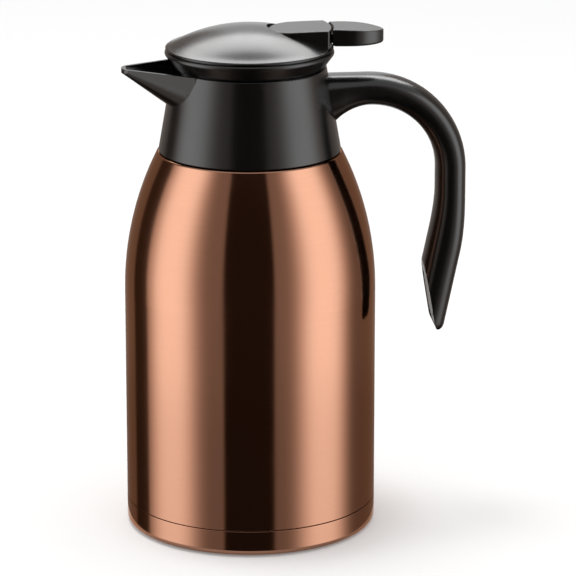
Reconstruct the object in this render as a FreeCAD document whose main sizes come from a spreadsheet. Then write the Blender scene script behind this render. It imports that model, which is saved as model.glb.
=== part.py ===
"""Thermal carafe with a screw-in pouring lid, as a parametric document.

Millimetres, +Z up. The origin is the middle of the base, on the surface the jug stands on. The handle
points along +X, the spout along -X, and the jug is the same on both sides of the XZ plane.
"""
import FreeCAD, Part
import math
import os
import re

import Sketcher

# Largest difference of coordinates that count as the same
SAME = 0.01
# Sections of the handle's loft: along the arm, the bend, the lower grip and the tail
ARM_STEPS = 2
BEND_STEPS = 5
GRIP_STEPS = 3
TAIL_STEPS = 3
GUIDE_SCREWS = 3

# Driving dimensions: alias, size, meaning
SIZES = (
    ("body_radius", 66, "outside radius of the steel body"),
    ("shell_wall", 0.7, "sheet of the outer shell and the base cup"),
    ("seam_height", 14.2, "top edge of the base cup"),
    ("seam_gap", 0.4, "open line between base cup and shell"),
    ("seam_edge", 0.25, "rounding of the sheet at that line"),
    ("cup_clearance", 0.2, "shell foot inside the base cup"),
    ("shell_foot", 4.2, "lower edge of the shell"),
    ("shoulder_height", 128, "where the straight body ends"),
    ("shoulder_top", 202, "top of the curved shoulder"),
    ("ledge_width", 10.4, "ledge under the collar, from the neck to the shoulder"),
    ("ledge_rise", 1, "rise of the ledge under the collar"),
    ("ledge_edge", 1, "rounding between shoulder and ledge"),
    ("neck_radius", 38, "outside radius of the steel neck"),
    ("neck_length", 22.3, "steel neck above the ledge"),
    ("vacuum_gap", 4, "space between shell and liner"),
    ("ledge_vacuum_gap", 1.2, "that space under the ledge"),
    ("neck_vacuum_gap", 2.6, "that space in the neck"),
    ("liner_wall", 0.7, "sheet of the liner"),
    ("getter_gap", 1.3, "liner above the capsule on the plate"),
    ("liner_corner", 14, "rounding of the liner's floor"),
    ("plate_height", 7, "underside of the plate that closes the shell"),
    ("weld_clearance", 0.05, "plate flange inside the shell foot"),
    ("getter_radius", 8, "capsule on that plate"),
    ("getter_height", 3, "height of the capsule"),
    ("foot_edge", 3, "rounding at the bottom of the base cup"),
    ("foot_drop", 0.8, "base pad stands below the cup by this"),
    ("pad_margin", 13, "base pad inside the body's outline"),
    ("pad_fit", 0.3, "pad inside its recess"),
    ("pad_thickness", 2.2, "base pad"),
    ("pad_edge", 0.6, "rounding of the pad"),
    ("collar_gap", 0.5, "open line between shoulder and collar"),
    ("mouth_depth", 16.8, "collar rim above its inner flange"),
    ("collar_inset", 0.7, "collar foot inside the edge of the shoulder"),
    ("collar_rim_step", 2, "collar rim outside the steel neck"),
    ("collar_wall", 2.4, "wall of the collar"),
    ("collar_edge", 0.7, "rounding of its foot and rim"),
    ("neck_seal_thickness", 1.2, "washer on the steel lip"),
    ("collar_flange", 2.8, "inner flange of the collar, on the washer"),
    ("flange_bore_gap", 0.3, "flange bore around the neck ring"),
    ("spout_length", 26.6, "spout tip beyond the collar rim"),
    ("spout_sink", 10, "widest spout section inside the rim"),
    ("spout_half_width", 27.2, "half width of that section"),
    ("spout_depth", 28.5, "depth of that section"),
    ("spout_tip_half_width", 4.4, "half width at the tip"),
    ("spout_tip_depth", 2.4, "depth at the tip"),
    ("spout_tip_rise", 0.4, "tip above the collar rim"),
    ("spout_tip_round", 8, "rounding of the tip, from above"),
    ("spout_side", 0.3, "straight side of a spout section, as a part of its depth"),
    ("spout_keel", 0.6, "keel of a spout section, as a part of its width"),
    ("spout_sag", 0.1156, "sag of that keel, as a part of the depth"),
    ("spout_bilge", 0.462, "rounding beside the keel, as a part of the section's diagonal"),
    ("spout_wall", 1.6, "wall of the spout"),
    ("spout_tip_wall", 2.4, "wall at the tip, along the axis"),
    ("trough_rise", 0.6, "floor of the trough above the flange"),
    ("trough_tip_half_width", 4, "half width of the trough at the tip"),
    ("trough_tip_depth", 3.2, "depth of the trough at the tip"),
    ("ring_fit", 0.2, "neck ring inside the liner"),
    ("ring_wall", 2.6, "wall of the neck ring"),
    ("ring_flange", 2, "flange of the neck ring on the collar's flange"),
    ("ring_flange_gap", 2.8, "that flange inside the collar"),
    ("ring_sleeve", 18, "sleeve of the neck ring below the lip"),
    ("arm_over", 6.5, "middle of the handle's arm above the underside of the collar's flange"),
    ("arm_half_height", 8.1, "half height of the arm before the bend"),
    ("root_half_height", 15.3, "half height of the arm inside the collar line"),
    ("grip_reach", 105.6, "middle of the grip from the axis"),
    ("grip_half_depth", 7.85, "half depth of the grip"),
    ("bend_radius", 41.5, "middle line of the handle's bend"),
    ("grip_straight", 17.3, "straight grip below the bend"),
    ("grip_curve", 132, "radius of the lower grip's inward curve"),
    ("grip_tilt", 12.3, "tilt of the lower end, degrees"),
    ("tail_length", 41.3, "straight tail below the curve"),
    ("tail_half_depth", 9.2, "half depth of the tail"),
    ("handle_half_width", 12.4, "half width of the handle"),
    ("root_swell", 2, "half width that the arm gains towards the collar"),
    ("handle_round", 0.8, "corner radius as a part of the half depth"),
    ("cut_tilt", 9.5, "tilt of the slanted end, degrees"),
    ("cut_offset", 3.2, "slanted end from the tail's middle line, at the line's end"),
    ("cut_edge", 0.8, "rounding of the slanted end"),
    ("plug_rise", 15, "middle of the oval plug above the tail's end, along the slanted end"),
    ("plug_half_length", 12, "oval plug in the slanted end"),
    ("plug_margin", 3, "oval plug inside the handle's sides"),
    ("plug_thickness", 1.8, "oval plug"),
    ("plug_sink", 0.25, "plug below the slanted face"),
    ("plug_fit", 0.15, "plug inside its recess"),
    ("handle_gap", 0.06, "handle root on the collar"),
    ("screw_head_gap", 0.2, "handle screw heads under the collar's flange"),
    ("screw_spacing", 5, "handle screws from the middle plane"),
    ("screw_radius", 1.4, "handle screw shank"),
    ("screw_head_radius", 2.4, "handle screw head"),
    ("screw_head", 1.4, "handle screw head height"),
    ("screw_length", 9.5, "handle screw shank length"),
    ("screw_hole_gap", 0.1, "shank in its hole"),
    ("lid_gap", 0.5, "open line between collar rim and lid"),
    ("ring_foot_inset", 0.7, "foot of the lid's tapered ring inside the collar rim"),
    ("ring_flare", 4.6, "tapered ring widens by this"),
    ("ring_height", 8.4, "height of the tapered ring"),
    ("ring_nose", 1.6, "rounding at its widest place"),
    ("ring_nose_height", 2.6, "height of that rounding"),
    ("skirt_clearance", 0.6, "lid skirt inside the collar rim"),
    ("skirt_drop", 2.6, "lid skirt below the ring"),
    ("tub_wall", 2.6, "wall of the pouring chamber"),
    ("tub_step", 1.9, "chamber wall inside the skirt"),
    ("tub_shoulder", 0.9, "chamber wall steps in by this inside the lid's ring"),
    ("lid_bore_fit", 0.1, "chamber wall in the lid's ring"),
    ("tub_gap", 0.6, "chamber above the neck ring"),
    ("stopper_reach", 24, "stopper below the top of the neck ring"),
    ("stopper_floor", 2.5, "floor of the stopper"),
    ("plug_clearance", 0.6, "stopper inside the neck ring"),
    ("stopper_wall", 3.6, "wall of the stopper"),
    ("stopper_chamfer", 1, "lower edge of the stopper"),
    ("groove_rise", 5, "seal groove above the stopper's end"),
    ("groove_depth", 1.9, "seal groove"),
    ("seal_height", 4, "stopper seal"),
    ("seal_gap", 0.1, "seal inside its groove"),
    ("seat_radius", 9, "valve opening in the floor"),
    ("window_half_width", 15, "pouring window"),
    ("window_sill", 0.3, "window above the chamber floor"),
    ("window_height", 6.7, "pouring window"),
    ("dome_seat", 2.5, "seat of the dome below the ring's top"),
    ("dome_spigot", 2, "wall of the dome's spigot"),
    ("dome_fit", 0.2, "spigot inside the ring"),
    ("dome_gap", 0.9, "open line between ring and dome"),
    ("dome_inset", 0.3, "edge of the dome inside the widest place of the ring"),
    ("dome_rise", 11.7, "dome from edge to top"),
    ("dome_edge", 1.3, "rounding of the dome's edge"),
    ("brim_width", 4.9, "hollow brim of the dome"),
    ("brim_rise", 2, "brim from its edge to the dome"),
    ("brim_radius", 37, "hollow of the brim"),
    ("dome_wall", 2.2, "wall of the dome"),
    ("guide_thickness", 2, "stem guide plate"),
    ("guide_fit", 0.2, "guide plate inside the ring"),
    ("guide_ledge", 3.8, "ledge under the guide plate"),
    ("guide_boss_wall", 1.4, "boss above the plate, around the stem seal"),
    ("spigot_gap", 0.6, "spigot below the plate, inside the spring"),
    ("guide_boss_drop", 3, "length of the spigot"),
    ("guide_spigot_taper", 0.8, "spigot narrows by this to its end"),
    ("guide_boss_rise", 2.4, "boss above the plate"),
    ("stem_radius", 2.5, "valve stem"),
    ("stem_fit", 0.08, "stem in its guide"),
    ("stem_seal_radius", 4.6, "soft ring in the boss"),
    ("stem_seal_height", 1.6, "soft ring in the boss"),
    ("guide_screw_inset", 3.1, "guide screws inside the chamber wall"),
    ("guide_screw_radius", 1.4, "guide screw shank"),
    ("guide_screw_length", 8, "guide screw shank below the plate"),
    ("guide_hole_depth", 8.5, "hole for that shank in its post"),
    ("guide_screw_head_radius", 2.6, "guide screw head"),
    ("guide_screw_head", 1.6, "guide screw head height"),
    ("post_radius", 3.4, "post under a guide screw"),
    ("valve_rim", 0.6, "valve plate around its soft disc"),
    ("valve_thickness", 2.4, "valve plate"),
    ("seat_overlap", 3.4, "soft disc around the valve opening"),
    ("valve_seal_thickness", 2, "soft disc under the plate"),
    ("valve_gap", 0.05, "soft disc above its seat"),
    ("spring_radius", 6.2, "middle of the spring's wire from the axis"),
    ("spring_wire", 0.7, "radius of the wire"),
    ("spring_turns", 5, "turns of the spring"),
    ("spring_seat", 0.1, "spring from the faces it pushes on"),
    ("housing_top", 10.6, "top of the lever housing above the dome's edge"),
    ("housing_half_width", 14.5, "half width of the housing"),
    ("housing_nose", 9.4, "front of the housing from the axis"),
    ("housing_end_inset", 1, "rear of the housing inside the dome's edge"),
    ("housing_end_round", 1.3, "rear corners of the housing"),
    ("housing_corner", 22, "where the housing's straight sides start"),
    ("housing_wall", 2.4, "side walls of the housing"),
    ("housing_base", 1.4, "foot of the housing above the dome's edge"),
    ("cover_seam", 0.5, "open line between the dome and the nose of the cover plate"),
    ("cover_edge", 0.7, "rounding of the cover plate's top"),
    ("cover_fall", 1.1, "top of the cover plate falls by this to its nose"),
    ("passage_roof", 1.3, "lever's passage below the cover plate"),
    ("cover_thickness", 2.2, "cover plate"),
    ("pivot_inset", 5.6, "lever pin inside the rear of the housing"),
    ("pivot_drop", 3.5, "lever pin below the cover plate"),
    ("pin_radius", 1.5, "lever pin"),
    ("pin_fit", 0.05, "lever on its pin"),
    ("pin_bite", 1.4, "pin in each side wall"),
    ("pin_end_gap", 0.1, "pin from the end of its hole"),
    ("hub_radius", 2.8, "lever around its pin"),
    ("lever_half_width", 8, "half width of the lever's neck"),
    ("slot_side_gap", 0.6, "neck in the housing's slot"),
    ("pad_seam", 0.7, "open line between housing and thumb pad"),
    ("thumb_root_half_width", 10.8, "thumb pad at the seam"),
    ("thumb_swell", 1.1, "half width that the thumb pad gains beyond the seam"),
    ("thumb_waist_length", 10.4, "widest place of the thumb pad beyond the housing"),
    ("thumb_overhang", 27.2, "tip of the thumb pad beyond the housing"),
    ("thumb_tip_radius", 7.5, "rounding of the tip, from above"),
    ("thumb_thickness", 8.9, "thumb pad at the seam"),
    ("thumb_fall", 2.2, "top of the pad falls by this to the tip"),
    ("thumb_corner", 1.2, "corners of the pad at the seam"),
    ("thumb_top_edge", 0.7, "rounding of the pad's top"),
    ("thumb_bottom_edge", 1.4, "rounding of the pad's underside"),
    ("prong_radius", 2.2, "round ends of the lever's fork"),
    ("prong_drop", 6.5, "fork ends below the pin"),
    ("fork_half_width", 6.5, "fork"),
    ("fork_gap", 0.5, "stem in the fork"),
    ("cap_radius", 7, "cap on the stem"),
    ("cap_thickness", 2.5, "cap on the stem"),
    ("cap_gap", 0.15, "cap above the fork"),
    ("cap_chamfer", 0.8, "top edge of the cap"),
    ("stem_tip_radius", 1.75, "end of the stem inside the cap"),
    ("overrun", 1, "how far a cut runs past the face that it opens"),
)

# Measures that follow from the driving dimensions
FORMULAS = {
    "seam_top": "(seam_height + seam_gap)",
    "shell_foot_radius": "(body_radius - shell_wall - cup_clearance)",
    "shoulder_top_radius": "(neck_radius + ledge_width)",
    "shoulder_in": "(body_radius - shoulder_top_radius)",
    "shoulder_up": "(shoulder_top - shoulder_height)",
    "shoulder_arc": "((shoulder_up ^ 2 + shoulder_in ^ 2) / (2 * shoulder_in))",
    "shoulder_cos": "((shoulder_arc - shoulder_in) / shoulder_arc)",
    "shoulder_sin": "(shoulder_up / shoulder_arc)",
    "ledge_top": "(shoulder_top + ledge_rise)",
    "neck_top": "(ledge_top + neck_length)",
    "lip_top": "(neck_top + liner_wall)",
    "liner_depth": "(shell_wall + vacuum_gap)",
    "liner_inner_depth": "(liner_depth + liner_wall)",
    "liner_radius": "(body_radius - liner_depth)",
    "liner_neck": "(neck_radius - shell_wall - neck_vacuum_gap)",
    "liner_bore": "(liner_neck - liner_wall)",
    "liner_ledge": "(ledge_top - shell_wall - ledge_vacuum_gap)",
    "liner_floor": "(plate_height + shell_wall + getter_height + getter_gap)",
    "plate_flange": "(shell_foot_radius - shell_wall - weld_clearance)",
    "pad_radius": "(body_radius - pad_margin)",
    "pad_recess": "(pad_radius + pad_fit)",
    "collar_foot": "(shoulder_top + collar_gap)",
    "flange_under": "(lip_top + neck_seal_thickness)",
    "flange_top": "(flange_under + collar_flange)",
    "collar_rim": "(flange_top + mouth_depth)",
    "collar_foot_radius": "(shoulder_top_radius - collar_inset)",
    "collar_rim_radius": "(neck_radius + collar_rim_step)",
    "collar_slope": "((collar_foot_radius - collar_rim_radius) / (collar_rim - collar_foot))",
    "spout_reach": "(collar_rim_radius + spout_length)",
    "spout_root": "(collar_rim_radius - spout_sink)",
    "spout_flare": "((spout_half_width - spout_tip_half_width) / (spout_reach - spout_root))",
    "spout_turn": "(spout_tip_round / sqrt(1 + spout_flare ^ 2))",
    "spout_turn_reach": "(spout_reach - spout_tip_round + spout_turn * spout_flare)",
    "ring_outside": "(liner_bore - ring_fit)",
    "ring_bore": "(ring_outside - ring_wall)",
    "ring_top": "(flange_top + ring_flange)",
    "ring_end": "(lip_top - ring_sleeve)",
    "ring_flange_radius": "(collar_foot_radius - (ring_top - collar_foot) * collar_slope"
                          " - collar_wall - ring_flange_gap)",
    "flange_bore": "(ring_outside + flange_bore_gap)",
    "arm_height": "(flange_under + arm_over)",
    "arm_top": "(arm_height + arm_half_height)",
    "bend_reach": "(grip_reach - bend_radius)",
    "bend_height": "(arm_height - bend_radius)",
    "curve_height": "(bend_height - grip_straight)",
    "tail_reach": "(grip_reach - grip_curve * (1 - cos(grip_tilt)))",
    "tail_height": "(curve_height - grip_curve * sin(grip_tilt))",
    "end_reach": "(tail_reach - tail_length * sin(grip_tilt))",
    "end_height": "(tail_height - tail_length * cos(grip_tilt))",
    "cut_reach": "(end_reach + cut_offset)",
    "cut_middle_reach": "(cut_reach - plug_rise * sin(cut_tilt))",
    "cut_middle_height": "(end_height + plug_rise * cos(cut_tilt))",
    "plug_half_width": "(handle_half_width - plug_margin)",
    "screw_line": "(flange_under - screw_head_radius - screw_head_gap)",
    "screw_wall": "(collar_foot_radius - (screw_line - collar_foot) * collar_slope - collar_wall)",
    "lid_foot": "(collar_rim + lid_gap)",
    "ring_foot_radius": "(collar_rim_radius - ring_foot_inset)",
    "ring_radius": "(ring_foot_radius + ring_flare)",
    "lid_ring_top": "(lid_foot + ring_height)",
    "skirt_radius": "(collar_rim_radius - collar_wall - skirt_clearance)",
    "tub_radius": "(skirt_radius - tub_step)",
    "tub_neck": "(tub_radius - tub_shoulder)",
    "lid_bore": "(tub_neck + lid_bore_fit)",
    "tub_bore": "(tub_radius - tub_wall)",
    "tub_under": "(ring_top + tub_gap)",
    "tub_floor": "(tub_under + tub_wall)",
    "skirt_foot": "(lid_foot - skirt_drop)",
    "plug_radius": "(ring_bore - plug_clearance)",
    "plug_bore": "(plug_radius - stopper_wall)",
    "stopper_end": "(ring_top - stopper_reach)",
    "seat_top": "(stopper_end + stopper_floor)",
    "groove_low": "(stopper_end + groove_rise)",
    "groove_high": "(groove_low + seal_height + 2 * seal_gap)",
    "groove_radius": "(plug_radius - groove_depth)",
    "guide_screw_circle": "(tub_bore - guide_screw_inset)",
    "guide_spigot_radius": "(spring_radius - spring_wire - spigot_gap)",
    "guide_boss_radius": "(stem_seal_radius + guide_boss_wall)",
    "guide_under": "(lid_foot + seal_gap)",
    "guide_top": "(guide_under + guide_thickness)",
    "guide_pocket": "(tub_bore + guide_ledge)",
    "dome_radius": "(ring_radius - dome_inset)",
    "dome_floor": "(lid_ring_top - dome_seat)",
    "dome_foot": "(lid_ring_top + dome_gap)",
    "dome_top": "(dome_foot + dome_rise)",
    "spigot_bore": "(dome_radius - dome_edge - dome_fit - dome_spigot)",
    "spigot_radius": "(dome_radius - dome_edge - dome_fit)",
    "ring_mouth": "(dome_radius - dome_edge)",
    "dome_cap_radius": "(dome_radius - dome_edge / 2)",
    "dome_cap_height": "(dome_foot + dome_edge * 2 / 3)",
    "brim_start": "(dome_cap_radius - brim_width)",
    "brim_top": "(dome_cap_height + brim_rise)",
    "dome_cap_rise": "(dome_top - brim_top)",
    "dome_arc": "((brim_start ^ 2 + dome_cap_rise ^ 2) / (2 * dome_cap_rise))",
    "dome_centre": "(dome_top - dome_arc)",
    "dome_inner_arc": "(dome_arc - dome_wall)",
    "dome_inner_edge": "(dome_centre + sqrt(dome_inner_arc ^ 2 - spigot_bore ^ 2))",
    "valve_seal_radius": "(seat_radius + seat_overlap)",
    "valve_radius": "(valve_seal_radius + valve_rim)",
    "valve_low": "(seat_top + valve_gap + valve_seal_thickness)",
    "valve_high": "(valve_low + valve_thickness)",
    "housing_end_radius": "(dome_radius - housing_end_inset)",
    "housing_height": "(dome_foot + housing_top)",
    "housing_low": "(dome_foot + housing_base)",
    "cover_under": "(housing_height - cover_thickness)",
    "pivot_reach": "(housing_end_radius - pivot_inset)",
    "pivot_height": "(cover_under - pivot_drop)",
    "prong_height": "(pivot_height - prong_drop)",
    "cap_under": "(prong_height + prong_radius + cap_gap)",
    "cap_top": "(cap_under + cap_thickness)",
    "thumb_inner_radius": "(housing_end_radius + pad_seam)",
    "thumb_under": "(housing_height - thumb_thickness)",
    "thumb_waist": "(housing_end_radius + thumb_waist_length)",
    "thumb_reach": "(housing_end_radius + thumb_overhang)",
    "thumb_half_width": "(thumb_root_half_width + thumb_swell)",
    "thumb_tip_centre": "(thumb_reach - thumb_tip_radius)",
    "thumb_root": "sqrt(thumb_inner_radius ^ 2 - thumb_root_half_width ^ 2)",
    "thumb_flare": "(((thumb_waist - thumb_root) ^ 2 + thumb_swell ^ 2) / (2 * thumb_swell))",
    "thumb_run": "(thumb_tip_centre - thumb_waist)",
    "thumb_side_radius": "((thumb_run ^ 2 + thumb_half_width ^ 2 - thumb_tip_radius ^ 2)"
                         " / (2 * (thumb_half_width - thumb_tip_radius)))",
    "thumb_tip_share": "(thumb_tip_radius / (thumb_side_radius - thumb_tip_radius))",
    "thumb_turn_x": "(thumb_tip_centre + thumb_run * thumb_tip_share)",
    "thumb_turn_y": "((thumb_side_radius - thumb_half_width) * thumb_tip_share)",
    "thumb_length": "(thumb_overhang + overrun)",
    "thumb_crown": "((thumb_length ^ 2 + thumb_fall ^ 2) / (2 * thumb_fall))",
    "slot_half_width": "(lever_half_width + slot_side_gap)",
    "cavity_half_width": "(housing_half_width - housing_wall)",
    "cover_length": "(housing_end_radius - housing_nose + overrun)",
    "cover_crown": "((cover_length ^ 2 + cover_fall ^ 2) / (2 * cover_fall))",
}

doc = FreeCAD.newDocument("ThermalCarafe")
sheet = doc.addObject("Spreadsheet::Sheet", "Sizes")
for row, (alias, size, meaning) in enumerate(SIZES, start=1):
    sheet.set(f"A{row}", meaning)
    sheet.set(f"B{row}", str(size))
    sheet.setAlias(f"B{row}", alias)
doc.recompute()
ALIASES = {alias for alias, size, meaning in SIZES}
WORD = re.compile(r"[a-z][a-z_]*")


def bound(text):
    """Write a text of aliases and formulas as an expression on the sheet."""
    def one_word(match):
        word = match.group()
        if word in FORMULAS:
            return bound(FORMULAS[word])
        return f"Sizes.{word}" if word in ALIASES else word
    return WORD.sub(one_word, text)


def number(text):
    """The present value of such a text."""
    value = sheet.evalExpression(bound(text))
    return float(getattr(value, "Value", value))


def collar_radius(height, inset="0"):
    """The collar's outside radius at a height, less an inset."""
    return f"(collar_foot_radius - ({height} - collar_foot) * collar_slope - ({inset}))"


def new_body(name):
    return doc.addObject("PartDesign::Body", name)


def sketch_on(body, role, name, offset=None):
    """A sketch on one of the body's origin planes, moved along the plane's normal."""
    sketch = body.newObject("Sketcher::SketchObject", f"{body.Name}_{name}")
    plane = next(item for item in body.Origin.OriginFeatures if item.Role == role)
    sketch.AttachmentSupport = [(plane, "")]
    sketch.MapMode = "FlatFace"
    if offset:
        sketch.setExpression("AttachmentOffset.Base.z", bound(offset))
    return sketch


def constrain(sketch, kind, *where, text):
    """Add a dimension to a sketch and bind it to the sheet."""
    index = sketch.addConstraint(Sketcher.Constraint(kind, *where, number(text)))
    sketch.setExpression(f"Constraints[{index}]", bound(text))


def place_point(sketch, item, end, across, up):
    """Fix a point of a sketch at two bound distances from its origin."""
    for kind, axis, text in (("DistanceX", -2, across), ("DistanceY", -1, up)):
        if text == "0":
            sketch.addConstraint(Sketcher.Constraint("PointOnObject", item, end, axis))
        else:
            constrain(sketch, kind, -1, 1, item, end, text=text)


def arc_between(start, end, radius, turn):
    """The arc of less than half a circle that turns left or right from start to end."""
    chord = end - start
    side = FreeCAD.Vector(-chord.y, chord.x, 0).normalize()
    reach = math.sqrt(max(radius ** 2 - chord.Length ** 2 / 4, 0))
    centre = (start + end) / 2 + side * (reach if turn == "left" else -reach)
    first, last = (start, end) if turn == "left" else (end, start)
    angles = [math.atan2(point.y - centre.y, point.x - centre.x) for point in (first, last)]
    circle = Part.Circle(centre, FreeCAD.Vector(0, 0, 1), radius)
    return Part.ArcOfCircle(circle, *angles)


def draw_outline(sketch, corners):
    """Draw a closed outline.

    A corner is (across, up), and its side to the next corner is straight, or (across, up, turn, radius),
    and that side is an arc which turns left or right.
    """
    points = [FreeCAD.Vector(number(corner[0]), number(corner[1]), 0) for corner in corners]
    sides = []
    for index, corner in enumerate(corners):
        start, end = points[index], points[(index + 1) % len(points)]
        if len(corner) == 2:
            sides.append((sketch.addGeometry(Part.LineSegment(start, end)), 1, 2))
            continue
        turn, radius = corner[2:]
        item = sketch.addGeometry(arc_between(start, end, number(radius), turn))
        sides.append((item, 1, 2) if turn == "left" else (item, 2, 1))
    for index, (item, start_end, far_end) in enumerate(sides):
        following, following_start, unused = sides[(index + 1) % len(sides)]
        sketch.addConstraint(Sketcher.Constraint("Coincident", item, far_end, following, following_start))
        place_point(sketch, item, start_end, *corners[index][:2])
        if len(corners[index]) > 2:
            constrain(sketch, "Radius", item, text=corners[index][3])


def draw_circle(sketch, across, up, radius):
    centre = FreeCAD.Vector(number(across), number(up), 0)
    item = sketch.addGeometry(Part.Circle(centre, FreeCAD.Vector(0, 0, 1), number(radius)))
    place_point(sketch, item, 3, across, up)
    constrain(sketch, "Radius", item, text=radius)


def turned(body, name, corners, kind="Revolution"):
    """Turn an outline of radius and height around the axis, as a solid or as a cut."""
    sketch = sketch_on(body, "XZ_Plane", f"{name}_profile")
    draw_outline(sketch, corners)
    feature = body.newObject(f"PartDesign::{kind}", f"{body.Name}_{name}")
    feature.Profile = sketch
    feature.ReferenceAxis = (sketch, ["V_Axis"])
    feature.Angle = 360
    return feature


def extruded(body, name, sketch, length, kind="Pad", symmetric=False, against=False):
    """Pad or pocket a sketch along its normal, both ways, or against it."""
    feature = body.newObject(f"PartDesign::{kind}", f"{body.Name}_{name}")
    feature.Profile = sketch
    feature.setExpression("Length", bound(length))
    if symmetric:
        feature.SideType = "Symmetric"
    feature.Reversed = against
    return feature


def lofted(body, name, sketches, kind="AdditiveLoft"):
    feature = body.newObject(f"PartDesign::{kind}", f"{body.Name}_{name}")
    feature.Profile = sketches[0]
    feature.Sections = sketches[1:]
    return feature


def is_upright(edge):
    """Whether an edge is a vertical line."""
    return edge.BoundBox.XLength < SAME and edge.BoundBox.YLength < SAME


def is_ring(edge, radius, height):
    """Whether an edge is the level circle of a radius at a height."""
    box = edge.BoundBox
    level = all(abs(z - number(height)) < SAME for z in (box.ZMin, box.ZMax))
    return level and abs(box.XMax - number(radius)) < SAME


def rounded(body, name, radius, wanted):
    """Round the edges of the body so far that the test wanted picks."""
    doc.recompute()
    base = body.Tip
    edges = [f"Edge{index}" for index, edge in enumerate(base.Shape.Edges, start=1) if wanted(edge)]
    feature = body.newObject("PartDesign::Fillet", f"{body.Name}_{name}")
    feature.Base = (base, edges)
    feature.setExpression("Radius", bound(radius))
    return feature


def repeated(body, name, originals, count):
    """Repeat features evenly around the vertical axis."""
    pattern = body.newObject("PartDesign::PolarPattern", f"{body.Name}_{name}")
    pattern.Originals = list(originals)
    axis = next(item for item in body.Origin.OriginFeatures if item.Role == "Z_Axis")
    pattern.Axis = (axis, [""])
    pattern.Angle = 360
    pattern.Occurrences = count
    body.Tip = pattern
    return pattern


def mirrored(body, name, originals):
    """Mirror features in the XZ plane."""
    mirror = body.newObject("PartDesign::Mirrored", f"{body.Name}_{name}")
    mirror.Originals = list(originals)
    plane = next(item for item in body.Origin.OriginFeatures if item.Role == "XZ_Plane")
    mirror.MirrorPlane = (plane, [""])
    body.Tip = mirror
    return mirror


def shoulder_point(depth):
    """The end of the shoulder's arc, a depth inside the shell's outer face."""
    return (f"shoulder_top_radius - {depth} * shoulder_cos", f"shoulder_top - {depth} * shoulder_sin")


def build_outer_shell():
    body = new_body("outer_shell")
    turned(body, "shell", (
        ("shell_foot_radius", "shell_foot"),
        ("shell_foot_radius", "seam_top"),
        ("body_radius", "seam_top"),
        ("body_radius", "shoulder_height", "left", "shoulder_arc"),
        ("shoulder_top_radius", "shoulder_top"),
        ("neck_radius", "ledge_top"),
        ("neck_radius", "neck_top"),
        ("neck_radius - shell_wall", "neck_top"),
        ("neck_radius - shell_wall", "ledge_top - shell_wall"),
        (*shoulder_point("shell_wall"), "right", "shoulder_arc - shell_wall"),
        ("body_radius - shell_wall", "shoulder_height"),
        ("body_radius - shell_wall", "seam_top + shell_wall"),
        ("shell_foot_radius - shell_wall", "seam_top + shell_wall"),
        ("shell_foot_radius - shell_wall", "shell_foot"),
    ))
    rounded(body, "lower_edge", "seam_edge", lambda edge: is_ring(edge, "body_radius", "seam_top"))
    rounded(body, "upper_edge", "ledge_edge",
            lambda edge: is_ring(edge, "shoulder_top_radius", "shoulder_top"))


def build_inner_liner():
    body = new_body("inner_liner")
    turned(body, "liner", (
        ("0", "liner_floor"),
        ("liner_radius - liner_corner", "liner_floor", "left", "liner_corner"),
        ("liner_radius", "liner_floor + liner_corner"),
        ("liner_radius", "shoulder_height", "left", "shoulder_arc - liner_depth"),
        shoulder_point("liner_depth"),
        ("liner_neck", "liner_ledge"),
        ("liner_neck", "neck_top"),
        ("neck_radius", "neck_top"),
        ("neck_radius", "lip_top"),
        ("liner_bore", "lip_top"),
        ("liner_bore", "liner_ledge - liner_wall"),
        (*shoulder_point("liner_inner_depth"), "right", "shoulder_arc - liner_inner_depth"),
        ("liner_radius - liner_wall", "shoulder_height"),
        ("liner_radius - liner_wall", "liner_floor + liner_corner", "right", "liner_corner - liner_wall"),
        ("liner_radius - liner_corner", "liner_floor + liner_wall"),
        ("0", "liner_floor + liner_wall"),
    ))


def build_shell_bottom():
    body = new_body("shell_bottom")
    turned(body, "plate", (
        ("0", "plate_height"),
        ("plate_flange - shell_wall", "plate_height"),
        ("plate_flange - shell_wall", "shell_foot"),
        ("plate_flange", "shell_foot"),
        ("plate_flange", "plate_height + shell_wall"),
        ("0", "plate_height + shell_wall"),
    ))


def build_getter():
    body = new_body("getter")
    sketch = sketch_on(body, "XY_Plane", "capsule", "plate_height + shell_wall")
    draw_circle(sketch, "0", "0", "getter_radius")
    extruded(body, "capsule_pad", sketch, "getter_height")


def build_base_cup():
    body = new_body("base_cup")
    turned(body, "cup", (
        ("body_radius", "seam_height"),
        ("body_radius", "foot_drop + foot_edge", "right", "foot_edge"),
        ("body_radius - foot_edge", "foot_drop"),
        ("pad_recess", "foot_drop"),
        ("pad_recess", "pad_thickness"),
        ("0", "pad_thickness"),
        ("0", "pad_thickness + shell_wall"),
        ("pad_recess + shell_wall", "pad_thickness + shell_wall"),
        ("pad_recess + shell_wall", "foot_drop + shell_wall"),
        ("body_radius - foot_edge", "foot_drop + shell_wall", "left", "foot_edge - shell_wall"),
        ("body_radius - shell_wall", "foot_drop + foot_edge"),
        ("body_radius - shell_wall", "seam_height"),
    ))
    rounded(body, "upper_edge", "seam_edge", lambda edge: is_ring(edge, "body_radius", "seam_height"))


def build_base_pad():
    body = new_body("base_pad")
    turned(body, "disc", (
        ("0", "0"),
        ("pad_radius - pad_edge", "0", "left", "pad_edge"),
        ("pad_radius", "pad_edge"),
        ("pad_radius", "pad_thickness"),
        ("0", "pad_thickness"),
    ))


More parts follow.
